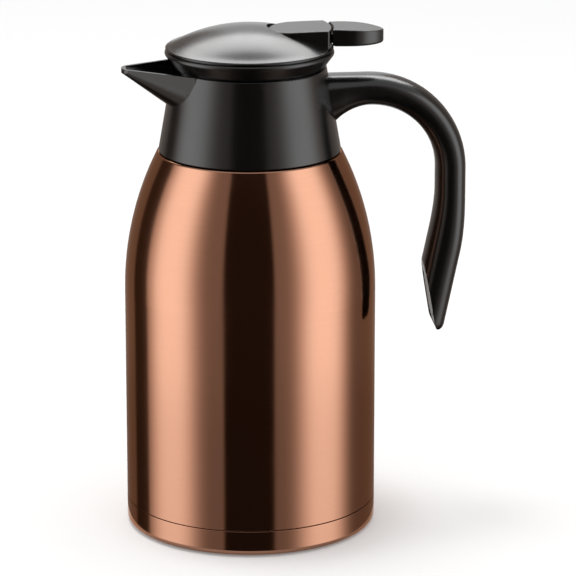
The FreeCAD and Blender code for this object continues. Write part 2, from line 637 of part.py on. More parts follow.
def spout_section(body, name, reach, half_width, depth, top):
    """A rounded U across the spout: straight sides, tight corners and a flatter keel."""
    sketch = sketch_on(body, "YZ_Plane", name, f"-({reach})")
    side = f"{top} - spout_side * {depth}"
    sag = f"(spout_sag * {depth})"
    corner = f"{top} - {depth} + {sag}"
    turn = f"spout_keel * {half_width}"
    tight = f"sqrt(({half_width}) ^ 2 + ({depth}) ^ 2) * spout_bilge"
    flat = f"(({turn}) ^ 2 + {sag} ^ 2) / (2 * {sag})"
    draw_outline(sketch, (
        (f"-{half_width}", top),
        (f"-{half_width}", side, "left", tight),
        (f"-{turn}", corner, "left", flat),
        (turn, corner, "left", tight),
        (half_width, side),
        (half_width, top),
    ))
    return sketch


def build_collar():
    body = new_body("collar")
    turned(body, "cone", (
        ("0", "collar_foot"),
        ("collar_foot_radius - collar_edge", "collar_foot", "left", "collar_edge"),
        (collar_radius("(collar_foot + collar_edge)"), "collar_foot + collar_edge"),
        (collar_radius("(collar_rim - collar_edge)"), "collar_rim - collar_edge", "left", "collar_edge"),
        ("collar_rim_radius - collar_edge", "collar_rim"),
        ("0", "collar_rim"),
    ))
    lofted(body, "spout", (
        spout_section(body, "spout_root", "spout_root", "spout_half_width", "spout_depth", "collar_rim"),
        spout_section(body, "spout_tip", "spout_reach", "spout_tip_half_width", "spout_tip_depth",
                      "(collar_rim + spout_tip_rise)"),
    ))
    trim = sketch_on(body, "XY_Plane", "tip_trim", "collar_foot")
    draw_outline(trim, (
        ("-spout_turn_reach", "spout_turn", "left", "spout_tip_round"),
        ("-spout_reach", "0", "left", "spout_tip_round"),
        ("-spout_turn_reach", "-spout_turn"),
        ("-spout_reach - overrun", "-spout_turn"),
        ("-spout_reach - overrun", "spout_turn"),
    ))
    extruded(body, "tip_trim_cut", trim, "collar_rim - collar_foot + spout_tip_rise + overrun", "Pocket",
             against=True)
    turned(body, "mouth", (
        ("0", "collar_rim + overrun"),
        (collar_radius("collar_rim", "collar_wall"), "collar_rim + overrun"),
        (collar_radius("collar_rim", "collar_wall"), "collar_rim"),
        (collar_radius("flange_top", "collar_wall"), "flange_top"),
        ("flange_bore", "flange_top"),
        ("flange_bore", "flange_under"),
        (collar_radius("flange_under", "collar_wall"), "flange_under"),
        (collar_radius("(collar_foot - overrun)", "collar_wall"), "collar_foot - overrun"),
        ("0", "collar_foot - overrun"),
    ), kind="Groove")
    trough_top = "(collar_rim + spout_wall)"
    lofted(body, "trough", (
        spout_section(body, "trough_root", "spout_root", "(spout_half_width - spout_wall)",
                      "(collar_rim + spout_wall - flange_top - trough_rise)", trough_top),
        spout_section(body, "trough_tip", "(spout_reach - spout_tip_wall)", "trough_tip_half_width",
                      "trough_tip_depth", trough_top),
    ), kind="SubtractiveLoft")
    holes = sketch_on(body, "YZ_Plane", "screw_holes", "neck_radius")
    for side in ("screw_spacing", "-screw_spacing"):
        draw_circle(holes, side, "screw_line", "screw_radius + screw_hole_gap")
    depth = "collar_foot_radius - neck_radius + overrun"
    extruded(body, "screw_pocket", holes, depth, "Pocket", against=True)


def build_neck_seal():
    body = new_body("neck_seal")
    turned(body, "washer", (
        ("flange_bore", "lip_top"),
        ("neck_radius", "lip_top"),
        ("neck_radius", "flange_under"),
        ("flange_bore", "flange_under"),
    ))


def build_neck_ring():
    body = new_body("neck_ring")
    turned(body, "ring", (
        ("ring_bore", "ring_end"),
        ("ring_outside", "ring_end"),
        ("ring_outside", "flange_top"),
        ("ring_flange_radius", "flange_top"),
        ("ring_flange_radius", "ring_top"),
        ("ring_bore", "ring_top"),
    ))


def handle_section(body, name, reach, height, tilt, half_depth, wide="handle_half_width"):
    """A rounded rectangle across the handle, tilted down from the arm's direction."""
    sketch = sketch_on(body, "YZ_Plane", name, reach)
    sketch.AttachmentOffset = FreeCAD.Placement(
        FreeCAD.Vector(0, number(height), number(reach)),
        FreeCAD.Rotation(FreeCAD.Vector(1, 0, 0), number(tilt)))
    sketch.setExpression("AttachmentOffset.Base.y", bound(height))
    sketch.setExpression("AttachmentOffset.Rotation.Angle", bound(tilt))
    radius = f"({half_depth} * handle_round)"
    draw_outline(sketch, (
        (f"{wide} - {radius}", f"-{half_depth}", "left", radius),
        (wide, f"-{half_depth} + {radius}"),
        (wide, f"{half_depth} - {radius}", "left", radius),
        (f"{wide} - {radius}", half_depth),
        (f"-{wide} + {radius}", half_depth, "left", radius),
        (f"-{wide}", f"{half_depth} - {radius}"),
        (f"-{wide}", f"-{half_depth} + {radius}", "left", radius),
        (f"-{wide} + {radius}", f"-{half_depth}"),
    ))
    return sketch


def arm_section(body, index, share):
    """A section of the arm: its top stays level, and its sides and underside swell towards the collar."""
    reach = f"(neck_radius + (bend_reach - neck_radius) * {share})"
    half = f"(arm_half_height + (root_half_height - arm_half_height) * (1 - {share}) ^ 2)"
    wide = f"(handle_half_width + root_swell * (1 - {share}) ^ 2)"
    return handle_section(body, f"arm_{index}", reach, f"(arm_top - {half})", "0", half, wide)


def bend_section(body, index, turn):
    """A section of the bend, turned down by an angle in degrees."""
    half = f"(arm_half_height + (grip_half_depth - arm_half_height) * {turn} / 90)"
    return handle_section(body, f"bend_{index}", f"(bend_reach + bend_radius * sin({turn}))",
                          f"(bend_height + bend_radius * cos({turn}))", f"{turn}", half)


def grip_section(body, index, share):
    """A section of the grip's inward curve."""
    turn = f"(grip_tilt * {share})"
    half = f"(grip_half_depth + (tail_half_depth - grip_half_depth) * {share})"
    return handle_section(body, f"grip_{index}", f"(grip_reach - grip_curve * (1 - cos{turn}))",
                          f"(curve_height - grip_curve * sin{turn})", f"90 + {turn}", half)


def tail_section(body, index, share):
    """A section of the straight tail, which the slanted end cuts."""
    return handle_section(body, f"tail_{index}", f"(tail_reach - tail_length * {share} * sin(grip_tilt))",
                          f"(tail_height - tail_length * {share} * cos(grip_tilt))", "90 + grip_tilt",
                          "tail_half_depth")


def slanted_sketch(body, name, sink):
    """A sketch on the handle's slanted end, sunk below it. Its first axis is across the handle."""
    sketch = sketch_on(body, "YZ_Plane", name, f"cut_middle_reach + ({sink}) * cos(cut_tilt)")
    sketch.AttachmentOffset = FreeCAD.Placement(
        FreeCAD.Vector(0, number("cut_middle_height"), number("cut_middle_reach")),
        FreeCAD.Rotation(FreeCAD.Vector(1, 0, 0), -number("cut_tilt")))
    sketch.setExpression("AttachmentOffset.Base.y", bound(f"cut_middle_height + ({sink}) * sin(cut_tilt)"))
    sketch.setExpression("AttachmentOffset.Rotation.Angle", bound("-cut_tilt"))
    return sketch


def on_slant(edge):
    """Whether an edge lies on the plane of the handle's slanted end."""
    tilt = math.radians(number("cut_tilt"))
    normal = FreeCAD.Vector(math.cos(tilt), 0, math.sin(tilt))
    middle = FreeCAD.Vector(number("cut_middle_reach"), 0, number("cut_middle_height"))
    return all(abs((vertex.Point - middle).dot(normal)) < SAME for vertex in edge.Vertexes)


def draw_oval(sketch, half_width, half_length):
    """An upright oval around the sketch's origin: a slot with round ends."""
    straight = f"({half_length} - {half_width})"
    draw_outline(sketch, (
        (half_width, f"-{straight}"),
        (half_width, straight, "left", half_width),
        ("0", half_length, "left", half_width),
        (f"-{half_width}", straight),
        (f"-{half_width}", f"-{straight}", "left", half_width),
        ("0", f"-{half_length}", "left", half_width),
    ))


def build_handle():
    body = new_body("handle")
    sections = [arm_section(body, step, f"({step} / {ARM_STEPS})") for step in range(ARM_STEPS)]
    sections += [bend_section(body, step, f"(90 * {step} / {BEND_STEPS})") for step in range(BEND_STEPS + 1)]
    sections += [grip_section(body, step, f"({step} / {GRIP_STEPS})") for step in range(GRIP_STEPS + 1)]
    sections += [tail_section(body, step, f"({step} / {TAIL_STEPS})") for step in range(1, TAIL_STEPS + 1)]
    lofted(body, "hook", sections)
    turned(body, "saddle", (
        ("0", "collar_foot"),
        (collar_radius("collar_foot", "-handle_gap"), "collar_foot"),
        (collar_radius("collar_rim", "-handle_gap"), "collar_rim"),
        ("0", "collar_rim"),
    ), kind="Groove")
    slant = slanted_sketch(body, "slant", "0")
    draw_outline(slant, (
        ("-2 * handle_half_width", "-tail_length"),
        ("2 * handle_half_width", "-tail_length"),
        ("2 * handle_half_width", "tail_length"),
        ("-2 * handle_half_width", "tail_length"),
    ))
    extruded(body, "slant_cut", slant, "tail_length", "Pocket")
    rounded(body, "slant_edges", "cut_edge", on_slant)
    recess = slanted_sketch(body, "recess", "0")
    draw_oval(recess, "(plug_half_width + plug_fit)", "(plug_half_length + plug_fit)")
    extruded(body, "recess_cut", recess, "plug_thickness + plug_sink", "Pocket", against=True)
    holes = sketch_on(body, "YZ_Plane", "screw_holes", "neck_radius")
    for side in ("screw_spacing", "-screw_spacing"):
        draw_circle(holes, side, "screw_line", "screw_radius + screw_hole_gap")
    depth = "screw_wall - neck_radius + screw_length + overrun"
    extruded(body, "screw_pocket", holes, depth, "Pocket", against=True)


def build_handle_plug():
    body = new_body("handle_plug")
    sketch = slanted_sketch(body, "oval", "plug_sink")
    draw_oval(sketch, "plug_half_width", "plug_half_length")
    extruded(body, "plate", sketch, "plug_thickness")


def build_handle_screws():
    body = new_body("handle_screws")
    seat = "(screw_wall - screw_head)"
    head = sketch_on(body, "YZ_Plane", "head", seat)
    draw_circle(head, "screw_spacing", "screw_line", "screw_head_radius")
    head_pad = extruded(body, "head_pad", head, "screw_head", against=True)
    shank = sketch_on(body, "YZ_Plane", "shank", seat)
    draw_circle(shank, "screw_spacing", "screw_line", "screw_radius")
    shank_pad = extruded(body, "shank_pad", shank, "screw_length")
    mirrored(body, "pair", (head_pad, shank_pad))


def build_lid_ring():
    body = new_body("lid_ring")
    turned(body, "ring", (
        ("lid_bore", "skirt_foot"),
        ("skirt_radius", "skirt_foot"),
        ("skirt_radius", "lid_foot"),
        ("ring_foot_radius", "lid_foot"),
        ("ring_radius - ring_nose / 4", "lid_ring_top - ring_nose_height", "left", "ring_nose"),
        ("ring_radius - ring_nose / 2", "lid_ring_top"),
        ("ring_mouth", "lid_ring_top"),
        ("ring_mouth", "dome_floor"),
        ("spigot_bore - dome_fit", "dome_floor"),
        ("guide_pocket", "guide_top"),
        ("guide_pocket", "guide_under"),
        ("lid_bore", "guide_under"),
    ))


def build_stopper_body():
    body = new_body("stopper_body")
    turned(body, "stopper", (
        ("seat_radius", "stopper_end"),
        ("plug_radius - stopper_chamfer", "stopper_end"),
        ("plug_radius", "stopper_end + stopper_chamfer"),
        ("plug_radius", "groove_low"),
        ("groove_radius", "groove_low"),
        ("groove_radius", "groove_high"),
        ("plug_radius", "groove_high"),
        ("plug_radius", "tub_under"),
        ("tub_radius", "tub_under"),
        ("tub_radius", "skirt_foot"),
        ("tub_neck", "skirt_foot"),
        ("tub_neck", "guide_under"),
        ("tub_bore", "guide_under"),
        ("tub_bore", "tub_floor"),
        ("plug_bore", "tub_floor"),
        ("plug_bore", "seat_top"),
        ("seat_radius", "seat_top"),
    ))
    window = sketch_on(body, "YZ_Plane", "window", "-plug_bore")
    sill = "tub_floor + window_sill"
    draw_outline(window, (
        ("-window_half_width", sill),
        ("window_half_width", sill),
        ("window_half_width", f"{sill} + window_height"),
        ("-window_half_width", f"{sill} + window_height"),
    ))
    extruded(body, "window_cut", window, "tub_radius", "Pocket")
    post = sketch_on(body, "XY_Plane", "post", "tub_floor - tub_wall / 2")
    draw_circle(post, "guide_screw_circle", "0", "post_radius")
    first = extruded(body, "post_pad", post, "guide_under - tub_floor + tub_wall / 2")
    repeated(body, "posts", [first], GUIDE_SCREWS)
    hole = sketch_on(body, "XY_Plane", "hole", "guide_under - guide_hole_depth")
    draw_circle(hole, "guide_screw_circle", "0", "guide_screw_radius + screw_hole_gap")
    first = extruded(body, "hole_cut", hole, "guide_hole_depth + overrun", "Pocket", against=True)
    repeated(body, "holes", [first], GUIDE_SCREWS)


def build_stopper_seal():
    body = new_body("stopper_seal")
    turned(body, "seal", (
        ("groove_radius + seal_gap", "groove_low + seal_gap"),
        ("plug_radius", "groove_low + seal_gap"),
        ("ring_bore - seal_gap", "groove_low + seal_gap + seal_height / 4"),
        ("ring_bore - seal_gap", "groove_low + seal_gap + seal_height * 3 / 4"),
        ("plug_radius", "groove_low + seal_gap + seal_height"),
        ("groove_radius + seal_gap", "groove_low + seal_gap + seal_height"),
    ))


def build_stem_guide():
    body = new_body("stem_guide")
    bore = "(stem_radius + stem_fit)"
    turned(body, "guide", (
        (bore, "guide_under - guide_boss_drop"),
        ("guide_spigot_radius - guide_spigot_taper", "guide_under - guide_boss_drop"),
        ("guide_spigot_radius", "guide_under"),
        ("guide_pocket - guide_fit", "guide_under"),
        ("guide_pocket - guide_fit", "guide_top"),
        ("guide_boss_radius", "guide_top"),
        ("guide_boss_radius", "guide_top + guide_boss_rise"),
        ("stem_seal_radius + seal_gap", "guide_top + guide_boss_rise"),
        ("stem_seal_radius + seal_gap", "guide_top + guide_boss_rise - stem_seal_height"),
        (bore, "guide_top + guide_boss_rise - stem_seal_height"),
    ))
    hole = sketch_on(body, "XY_Plane", "hole", "guide_under - overrun")
    draw_circle(hole, "guide_screw_circle", "0", "guide_screw_radius + screw_hole_gap")
    first = extruded(body, "hole_cut", hole, "guide_thickness + 2 * overrun", "Pocket", against=True)
    repeated(body, "holes", [first], GUIDE_SCREWS)


def build_stem_seal():
    body = new_body("stem_seal")
    low = "guide_top + guide_boss_rise - stem_seal_height"
    turned(body, "ring", (
        ("stem_radius + stem_fit", low),
        ("stem_seal_radius", low),
        ("stem_seal_radius", "guide_top + guide_boss_rise"),
        ("stem_radius + stem_fit", "guide_top + guide_boss_rise"),
    ))


def build_guide_screws():
    body = new_body("guide_screws")
    head = sketch_on(body, "XY_Plane", "head", "guide_top")
    draw_circle(head, "guide_screw_circle", "0", "guide_screw_head_radius")
    head_pad = extruded(body, "head_pad", head, "guide_screw_head")
    shank = sketch_on(body, "XY_Plane", "shank", "guide_top")
    draw_circle(shank, "guide_screw_circle", "0", "guide_screw_radius")
    shank_pad = extruded(body, "shank_pad", shank, "guide_thickness + guide_screw_length", against=True)
    repeated(body, "set", (head_pad, shank_pad), GUIDE_SCREWS)


def housing_outline(sketch, half_width, nose, corner, end_radius):
    """The lever housing from above: curved front, straight sides, and an end around the lid's axis."""
    bow = f"(({half_width}) ^ 2 + ({corner} - {nose}) ^ 2) / (2 * ({corner} - {nose}))"
    end = f"sqrt(({end_radius}) ^ 2 - ({half_width}) ^ 2)"
    draw_outline(sketch, (
        (corner, half_width, "left", bow),
        (nose, "0", "left", bow),
        (corner, f"-{half_width}"),
        (end, f"-{half_width}", "left", end_radius),
        (end, half_width),
    ))


def at_housing_corner(edge):
    """Whether an edge is an upright one at a rear corner of the lever housing."""
    end = number("sqrt(housing_end_radius ^ 2 - housing_half_width ^ 2)") - SAME
    return is_upright(edge) and edge.BoundBox.XMin > end


def build_lid_dome():
    body = new_body("lid_dome")
    turned(body, "dome", (
        ("dome_radius", "dome_foot"),
        ("dome_radius", "dome_foot + dome_edge / 4", "left", "dome_edge"),
        ("dome_cap_radius", "dome_cap_height", "right", "brim_radius"),
        ("brim_start", "brim_top", "left", "dome_arc"),
        ("0", "dome_top"),
        ("0", "dome_top - dome_wall", "right", "dome_inner_arc"),
        ("spigot_bore", "dome_inner_edge"),
        ("spigot_bore", "dome_floor"),
        ("spigot_radius", "dome_floor"),
        ("spigot_radius", "dome_foot"),
    ))
    housing = sketch_on(body, "XY_Plane", "housing", "housing_low")
    housing_outline(housing, "housing_half_width", "housing_nose", "housing_corner", "housing_end_radius")
    extruded(body, "housing_pad", housing, "cover_under - housing_low")
    rounded(body, "housing_corners", "housing_end_round", at_housing_corner)
    recess = sketch_on(body, "XY_Plane", "recess", "cover_under")
    housing_outline(recess, "(housing_half_width + cover_seam)", "(housing_nose - cover_seam)",
                    "housing_corner", "(housing_end_radius + overrun)")
    extruded(body, "recess_cut", recess, "dome_top - cover_under + overrun", "Pocket", against=True)
    cavity = sketch_on(body, "XY_Plane", "cavity", "dome_floor")
    housing_outline(cavity, "cavity_half_width", "(housing_nose + 1.5 * housing_wall)",
                    "(housing_corner + housing_wall)", "(housing_end_radius - housing_wall)")
    extruded(body, "cavity_cut", cavity, "cover_under - dome_floor + overrun", "Pocket", against=True)
    passage = sketch_on(body, "XY_Plane", "passage", "dome_floor")
    draw_outline(passage, (
        ("cap_radius", "-slot_half_width"),
        ("pivot_reach", "-slot_half_width"),
        ("pivot_reach", "slot_half_width"),
        ("cap_radius", "slot_half_width"),
    ))
    extruded(body, "passage_cut", passage, "cover_under - dome_floor - passage_roof", "Pocket", against=True)
    slot = sketch_on(body, "XY_Plane", "slot", "dome_foot + dome_edge / 2")
    draw_outline(slot, (
        ("pivot_reach", "-slot_half_width"),
        ("dome_radius + overrun", "-slot_half_width"),
        ("dome_radius + overrun", "slot_half_width"),
        ("pivot_reach", "slot_half_width"),
    ))
    extruded(body, "slot_cut", slot, "cover_under - dome_foot", "Pocket", against=True)
    pin = sketch_on(body, "XZ_Plane", "pin_holes")
    draw_circle(pin, "pivot_reach", "pivot_height", "pin_radius + pin_fit")
    extruded(body, "pin_cut", pin, "2 * (cavity_half_width + pin_bite)", "Pocket", symmetric=True)


def build_lever_cover():
    body = new_body("lever_cover")
    sketch = sketch_on(body, "XY_Plane", "plate", "cover_under")
    housing_outline(sketch, "housing_half_width", "housing_nose", "housing_corner", "housing_end_radius")
    extruded(body, "plate_pad", sketch, "cover_thickness")
    crown = sketch_on(body, "XZ_Plane", "crown")
    draw_outline(crown, (
        ("housing_nose - overrun", "housing_height - cover_fall", "right", "cover_crown"),
        ("housing_end_radius", "housing_height"),
        ("housing_end_radius", "housing_height + overrun"),
        ("housing_nose - overrun", "housing_height + overrun"),
    ))
    extruded(body, "crown_cut", crown, "4 * housing_half_width", "Pocket", symmetric=True)
    rounded(body, "corners", "housing_end_round", at_housing_corner)
    middle = number("(cover_under + housing_height - cover_fall) / 2")
    rounded(body, "top_edges", "cover_edge", lambda edge: edge.BoundBox.ZMin > middle)


def build_lever_pin():
    body = new_body("lever_pin")
    sketch = sketch_on(body, "XZ_Plane", "pin")
    draw_circle(sketch, "pivot_reach", "pivot_height", "pin_radius")
    extruded(body, "pin_pad", sketch, "2 * (cavity_half_width + pin_bite - pin_end_gap)", symmetric=True)


def build_thumb_lever():
    body = new_body("thumb_lever")
    plan = sketch_on(body, "XY_Plane", "pad", "thumb_under")
    draw_outline(plan, (
        ("thumb_root", "thumb_root_half_width", "right", "thumb_inner_radius"),
        ("thumb_root", "-thumb_root_half_width", "left", "thumb_flare"),
        ("thumb_waist", "-thumb_half_width", "left", "thumb_side_radius"),
        ("thumb_turn_x", "-thumb_turn_y", "left", "thumb_tip_radius"),
        ("thumb_turn_x", "thumb_turn_y", "left", "thumb_side_radius"),
        ("thumb_waist", "thumb_half_width", "left", "thumb_flare"),
    ))
    extruded(body, "pad_solid", plan, "thumb_thickness")
    crown = sketch_on(body, "XZ_Plane", "crown")
    draw_outline(crown, (
        ("housing_end_radius", "housing_height", "right", "thumb_crown"),
        ("thumb_reach + overrun", "housing_height - thumb_fall"),
        ("thumb_reach + overrun", "housing_height + overrun"),
        ("housing_end_radius", "housing_height + overrun"),
    ))
    extruded(body, "crown_cut", crown, "4 * thumb_half_width", "Pocket", symmetric=True)
    root_side = number("thumb_root_half_width") + SAME
    waist = number("thumb_waist") - SAME
    rounded(body, "corners", "thumb_corner", lambda edge: is_upright(edge)
            and abs(edge.BoundBox.YMin) < root_side and edge.BoundBox.XMin < waist)
    middle = number("thumb_under + thumb_thickness / 2")
    rounded(body, "top_edges", "thumb_top_edge", lambda edge: edge.BoundBox.ZMin > middle)
    bottom = number("thumb_under") + SAME
    rounded(body, "bottom_edges", "thumb_bottom_edge", lambda edge: edge.BoundBox.ZMax < bottom)
    neck = sketch_on(body, "XZ_Plane", "neck")
    draw_outline(neck, (
        ("pivot_reach", "pivot_height - hub_radius"),
        ("thumb_inner_radius + overrun", "pivot_height - hub_radius / 2"),
        ("thumb_inner_radius + overrun", "pivot_height + hub_radius"),
        ("pivot_reach", "pivot_height + hub_radius"),
    ))
    extruded(body, "neck_pad", neck, "2 * lever_half_width", symmetric=True)
    hub = sketch_on(body, "XZ_Plane", "hub")
    draw_circle(hub, "pivot_reach", "pivot_height", "hub_radius")
    extruded(body, "hub_pad", hub, "2 * lever_half_width", symmetric=True)
    arm = sketch_on(body, "XZ_Plane", "arm")
    draw_outline(arm, (
        ("0", "prong_height - prong_radius"),
        ("pivot_reach", "pivot_height - hub_radius"),
        ("pivot_reach", "pivot_height + hub_radius"),
        ("cap_radius + prong_radius", "prong_height + prong_radius / 2"),
        ("0", "prong_height + prong_radius / 2"),
    ))
    extruded(body, "arm_pad", arm, "2 * fork_half_width", symmetric=True)
    prong = sketch_on(body, "XZ_Plane", "prong")
    draw_circle(prong, "0", "prong_height", "prong_radius")
    extruded(body, "prong_pad", prong, "2 * fork_half_width", symmetric=True)
    gap = sketch_on(body, "XY_Plane", "fork_gap", "prong_height - 3 * prong_radius")
    half = "(stem_radius + fork_gap)"
    draw_outline(gap, (
        ("-cap_radius", f"-{half}"),
        ("cap_radius", f"-{half}", "left", half),
        (f"cap_radius + {half}", "0", "left", half),
        ("cap_radius", half),
        ("-cap_radius", half),
    ))
    extruded(body, "fork_cut", gap, "8 * prong_radius", "Pocket", against=True)
    bore = sketch_on(body, "XZ_Plane", "bore")
    draw_circle(bore, "pivot_reach", "pivot_height", "pin_radius + pin_fit")
    extruded(body, "bore_cut", bore, "3 * lever_half_width", "Pocket", symmetric=True)


def build_valve_stem():
    body = new_body("valve_stem")
    turned(body, "stem", (
        ("0", "valve_low"),
        ("valve_radius", "valve_low"),
        ("valve_radius", "valve_high"),
        ("stem_radius", "valve_high"),
        ("stem_radius", "cap_under"),
        ("stem_tip_radius", "cap_under"),
        ("stem_tip_radius", "cap_top"),
        ("0", "cap_top"),
    ))


def build_valve_seal():
    body = new_body("valve_seal")
    sketch = sketch_on(body, "XY_Plane", "disc", "seat_top + valve_gap")
    draw_circle(sketch, "0", "0", "valve_seal_radius")
    extruded(body, "disc_pad", sketch, "valve_seal_thickness")


def build_stem_cap():
    body = new_body("stem_cap")
    turned(body, "cap", (
        ("stem_tip_radius", "cap_under"),
        ("cap_radius", "cap_under"),
        ("cap_radius", "cap_top - cap_chamfer"),
        ("cap_radius - cap_chamfer", "cap_top"),
        ("stem_tip_radius", "cap_top"),
    ))


def biarc(start, start_way, end, end_way):
    """Two arcs that leave one point and reach another in the given directions."""
    gap = end - start
    ways = start_way + end_way
    spread = 2 * (1 - start_way.dot(end_way))
    along = gap.dot(ways)
    reach = (math.sqrt(along ** 2 + spread * gap.dot(gap)) - along) / spread
    joint = (start + end + (start_way - end_way) * reach) / 2
    return (tangent_arc(start, start_way, joint), tangent_arc(end, end_way * -1, joint, backward=True))


def tangent_arc(start, way, end, backward=False):
    """The arc that leaves start in a direction and reaches end."""
    chord = end - start
    line = FreeCAD.Vector(chord).normalize()
    bow = way - line * way.dot(line)
    half_turn = math.acos(max(-1, min(1, way.dot(line))))
    middle = (start + end) / 2 + bow.normalize() * (chord.Length / 2 * math.tan(half_turn / 2))
    return Part.Arc(end, middle, start) if backward else Part.Arc(start, middle, end)


def build_valve_spring():
    """The coil spring between valve plate and stem guide, along biarcs of a quarter turn."""
    radius = number("spring_radius")
    wire = number("spring_wire")
    turns = int(number("spring_turns"))
    low = number("valve_high + spring_seat") + wire
    high = number("guide_under - spring_seat") - wire
    quarters = 4 * turns
    rise = (high - low) / (2 * math.pi * turns)

    def helix(quarter):
        angle = quarter * math.pi / 2
        point = FreeCAD.Vector(radius * math.cos(angle), radius * math.sin(angle), low + rise * angle)
        way = FreeCAD.Vector(-radius * math.sin(angle), radius * math.cos(angle), rise).normalize()
        return point, way

    arcs = []
    for quarter in range(quarters):
        arcs += biarc(*helix(quarter), *helix(quarter + 1))
    path = Part.Wire([arc.toShape() for arc in arcs])
    point, way = helix(0)
    ring = Part.Wire(Part.Circle(point, way, wire).toShape())
    print("valve_spring gap between turns", round(2 * math.pi * rise - 2 * wire, 3))
    spring = doc.addObject("Part::Feature", "valve_spring")
    spring.Shape = path.makePipeShell([ring], True, False)
    spring.Placement = FreeCAD.Placement()


BUILDERS = (
    build_outer_shell, build_inner_liner, build_shell_bottom, build_getter, build_base_cup, build_base_pad,
    build_collar, build_neck_seal, build_neck_ring, build_handle, build_handle_plug, build_handle_screws,
    build_lid_ring, build_stopper_body, build_stopper_seal, build_stem_guide, build_stem_seal,
    build_guide_screws, build_lid_dome, build_lever_cover, build_lever_pin, build_thumb_lever,
    build_valve_stem, build_valve_seal, build_stem_cap, build_valve_spring,
)
for build in BUILDERS:
    build()
doc.recompute()

sub_parts = [item for item in doc.Objects
             if item.TypeId == "PartDesign::Body" or item.Name == "valve_spring"]
faults = [item.Name for item in doc.Objects if {"Invalid", "Error"} & set(item.State)]
faults += [item.Label for item in sub_parts if item.Shape.isNull() or not item.Shape.isValid()]
if faults:
    raise RuntimeError(f"not built: {faults}")
os.makedirs("parts", exist_ok=True)
for item in sub_parts:
    print(item.Label, len(item.Shape.Solids), round(item.Shape.Volume, 1))
    item.Shape.exportStep(f"parts/{item.Label}.step")
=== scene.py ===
"""Looks of the thermal carafe: its finishes, its wound and moulded pieces and a plain studio.

Metres and +Z up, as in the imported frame. The handle points along +X and the spout along -X.
"""
import logging
import math
from collections.abc import Sequence
from dataclasses import dataclass
from enum import Enum

import bmesh
import bpy
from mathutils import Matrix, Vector


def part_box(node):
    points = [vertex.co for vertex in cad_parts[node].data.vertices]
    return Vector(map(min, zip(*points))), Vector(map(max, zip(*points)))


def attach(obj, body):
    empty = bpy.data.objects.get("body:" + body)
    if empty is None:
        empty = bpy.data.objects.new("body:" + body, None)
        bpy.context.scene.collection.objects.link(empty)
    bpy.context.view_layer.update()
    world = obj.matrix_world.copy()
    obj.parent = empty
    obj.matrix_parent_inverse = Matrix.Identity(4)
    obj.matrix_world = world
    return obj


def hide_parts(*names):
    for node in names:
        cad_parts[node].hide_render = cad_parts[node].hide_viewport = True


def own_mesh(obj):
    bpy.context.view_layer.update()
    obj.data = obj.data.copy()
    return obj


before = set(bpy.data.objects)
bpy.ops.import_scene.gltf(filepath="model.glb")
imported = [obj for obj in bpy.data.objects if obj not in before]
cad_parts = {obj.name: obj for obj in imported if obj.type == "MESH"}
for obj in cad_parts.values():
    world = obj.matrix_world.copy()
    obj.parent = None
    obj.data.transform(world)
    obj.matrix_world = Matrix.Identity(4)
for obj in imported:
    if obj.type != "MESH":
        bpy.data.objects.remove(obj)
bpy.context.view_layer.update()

LOG = logging.getLogger("carafe")
MIX_INPUTS = (0, 6, 7)  # places of the share and the two colours in Blender's mix node
MIX_OUTPUT = 2  # place of the mixed colour

Colour = tuple[float, float, float]
Node = bpy.types.Node
Socket = bpy.types.NodeSocket
Shape = bmesh.types.BMesh
Value = Socket | float
Inputs = dict[str | int, Value | Colour]


class Body(str, Enum):
    """The bodies of the frame that a made piece rides on."""

    CARAFE = "carafe"
    LID = "lid"


class Slot(str, Enum):
    """The record's material slots."""

    COPPER = "copper_steel"
    STEEL = "bare_steel"
    PLASTIC = "black_plastic"
    INNER = "inner_plastic"
    SILICONE = "silicone"


class Effect(str, Enum):
    """The surface effects that finishes share as node groups."""

    TURNED_LINES = "turned_lines"
    MOULD_GRAIN = "mould_grain"
    HANDLING_MARKS = "handling_marks"


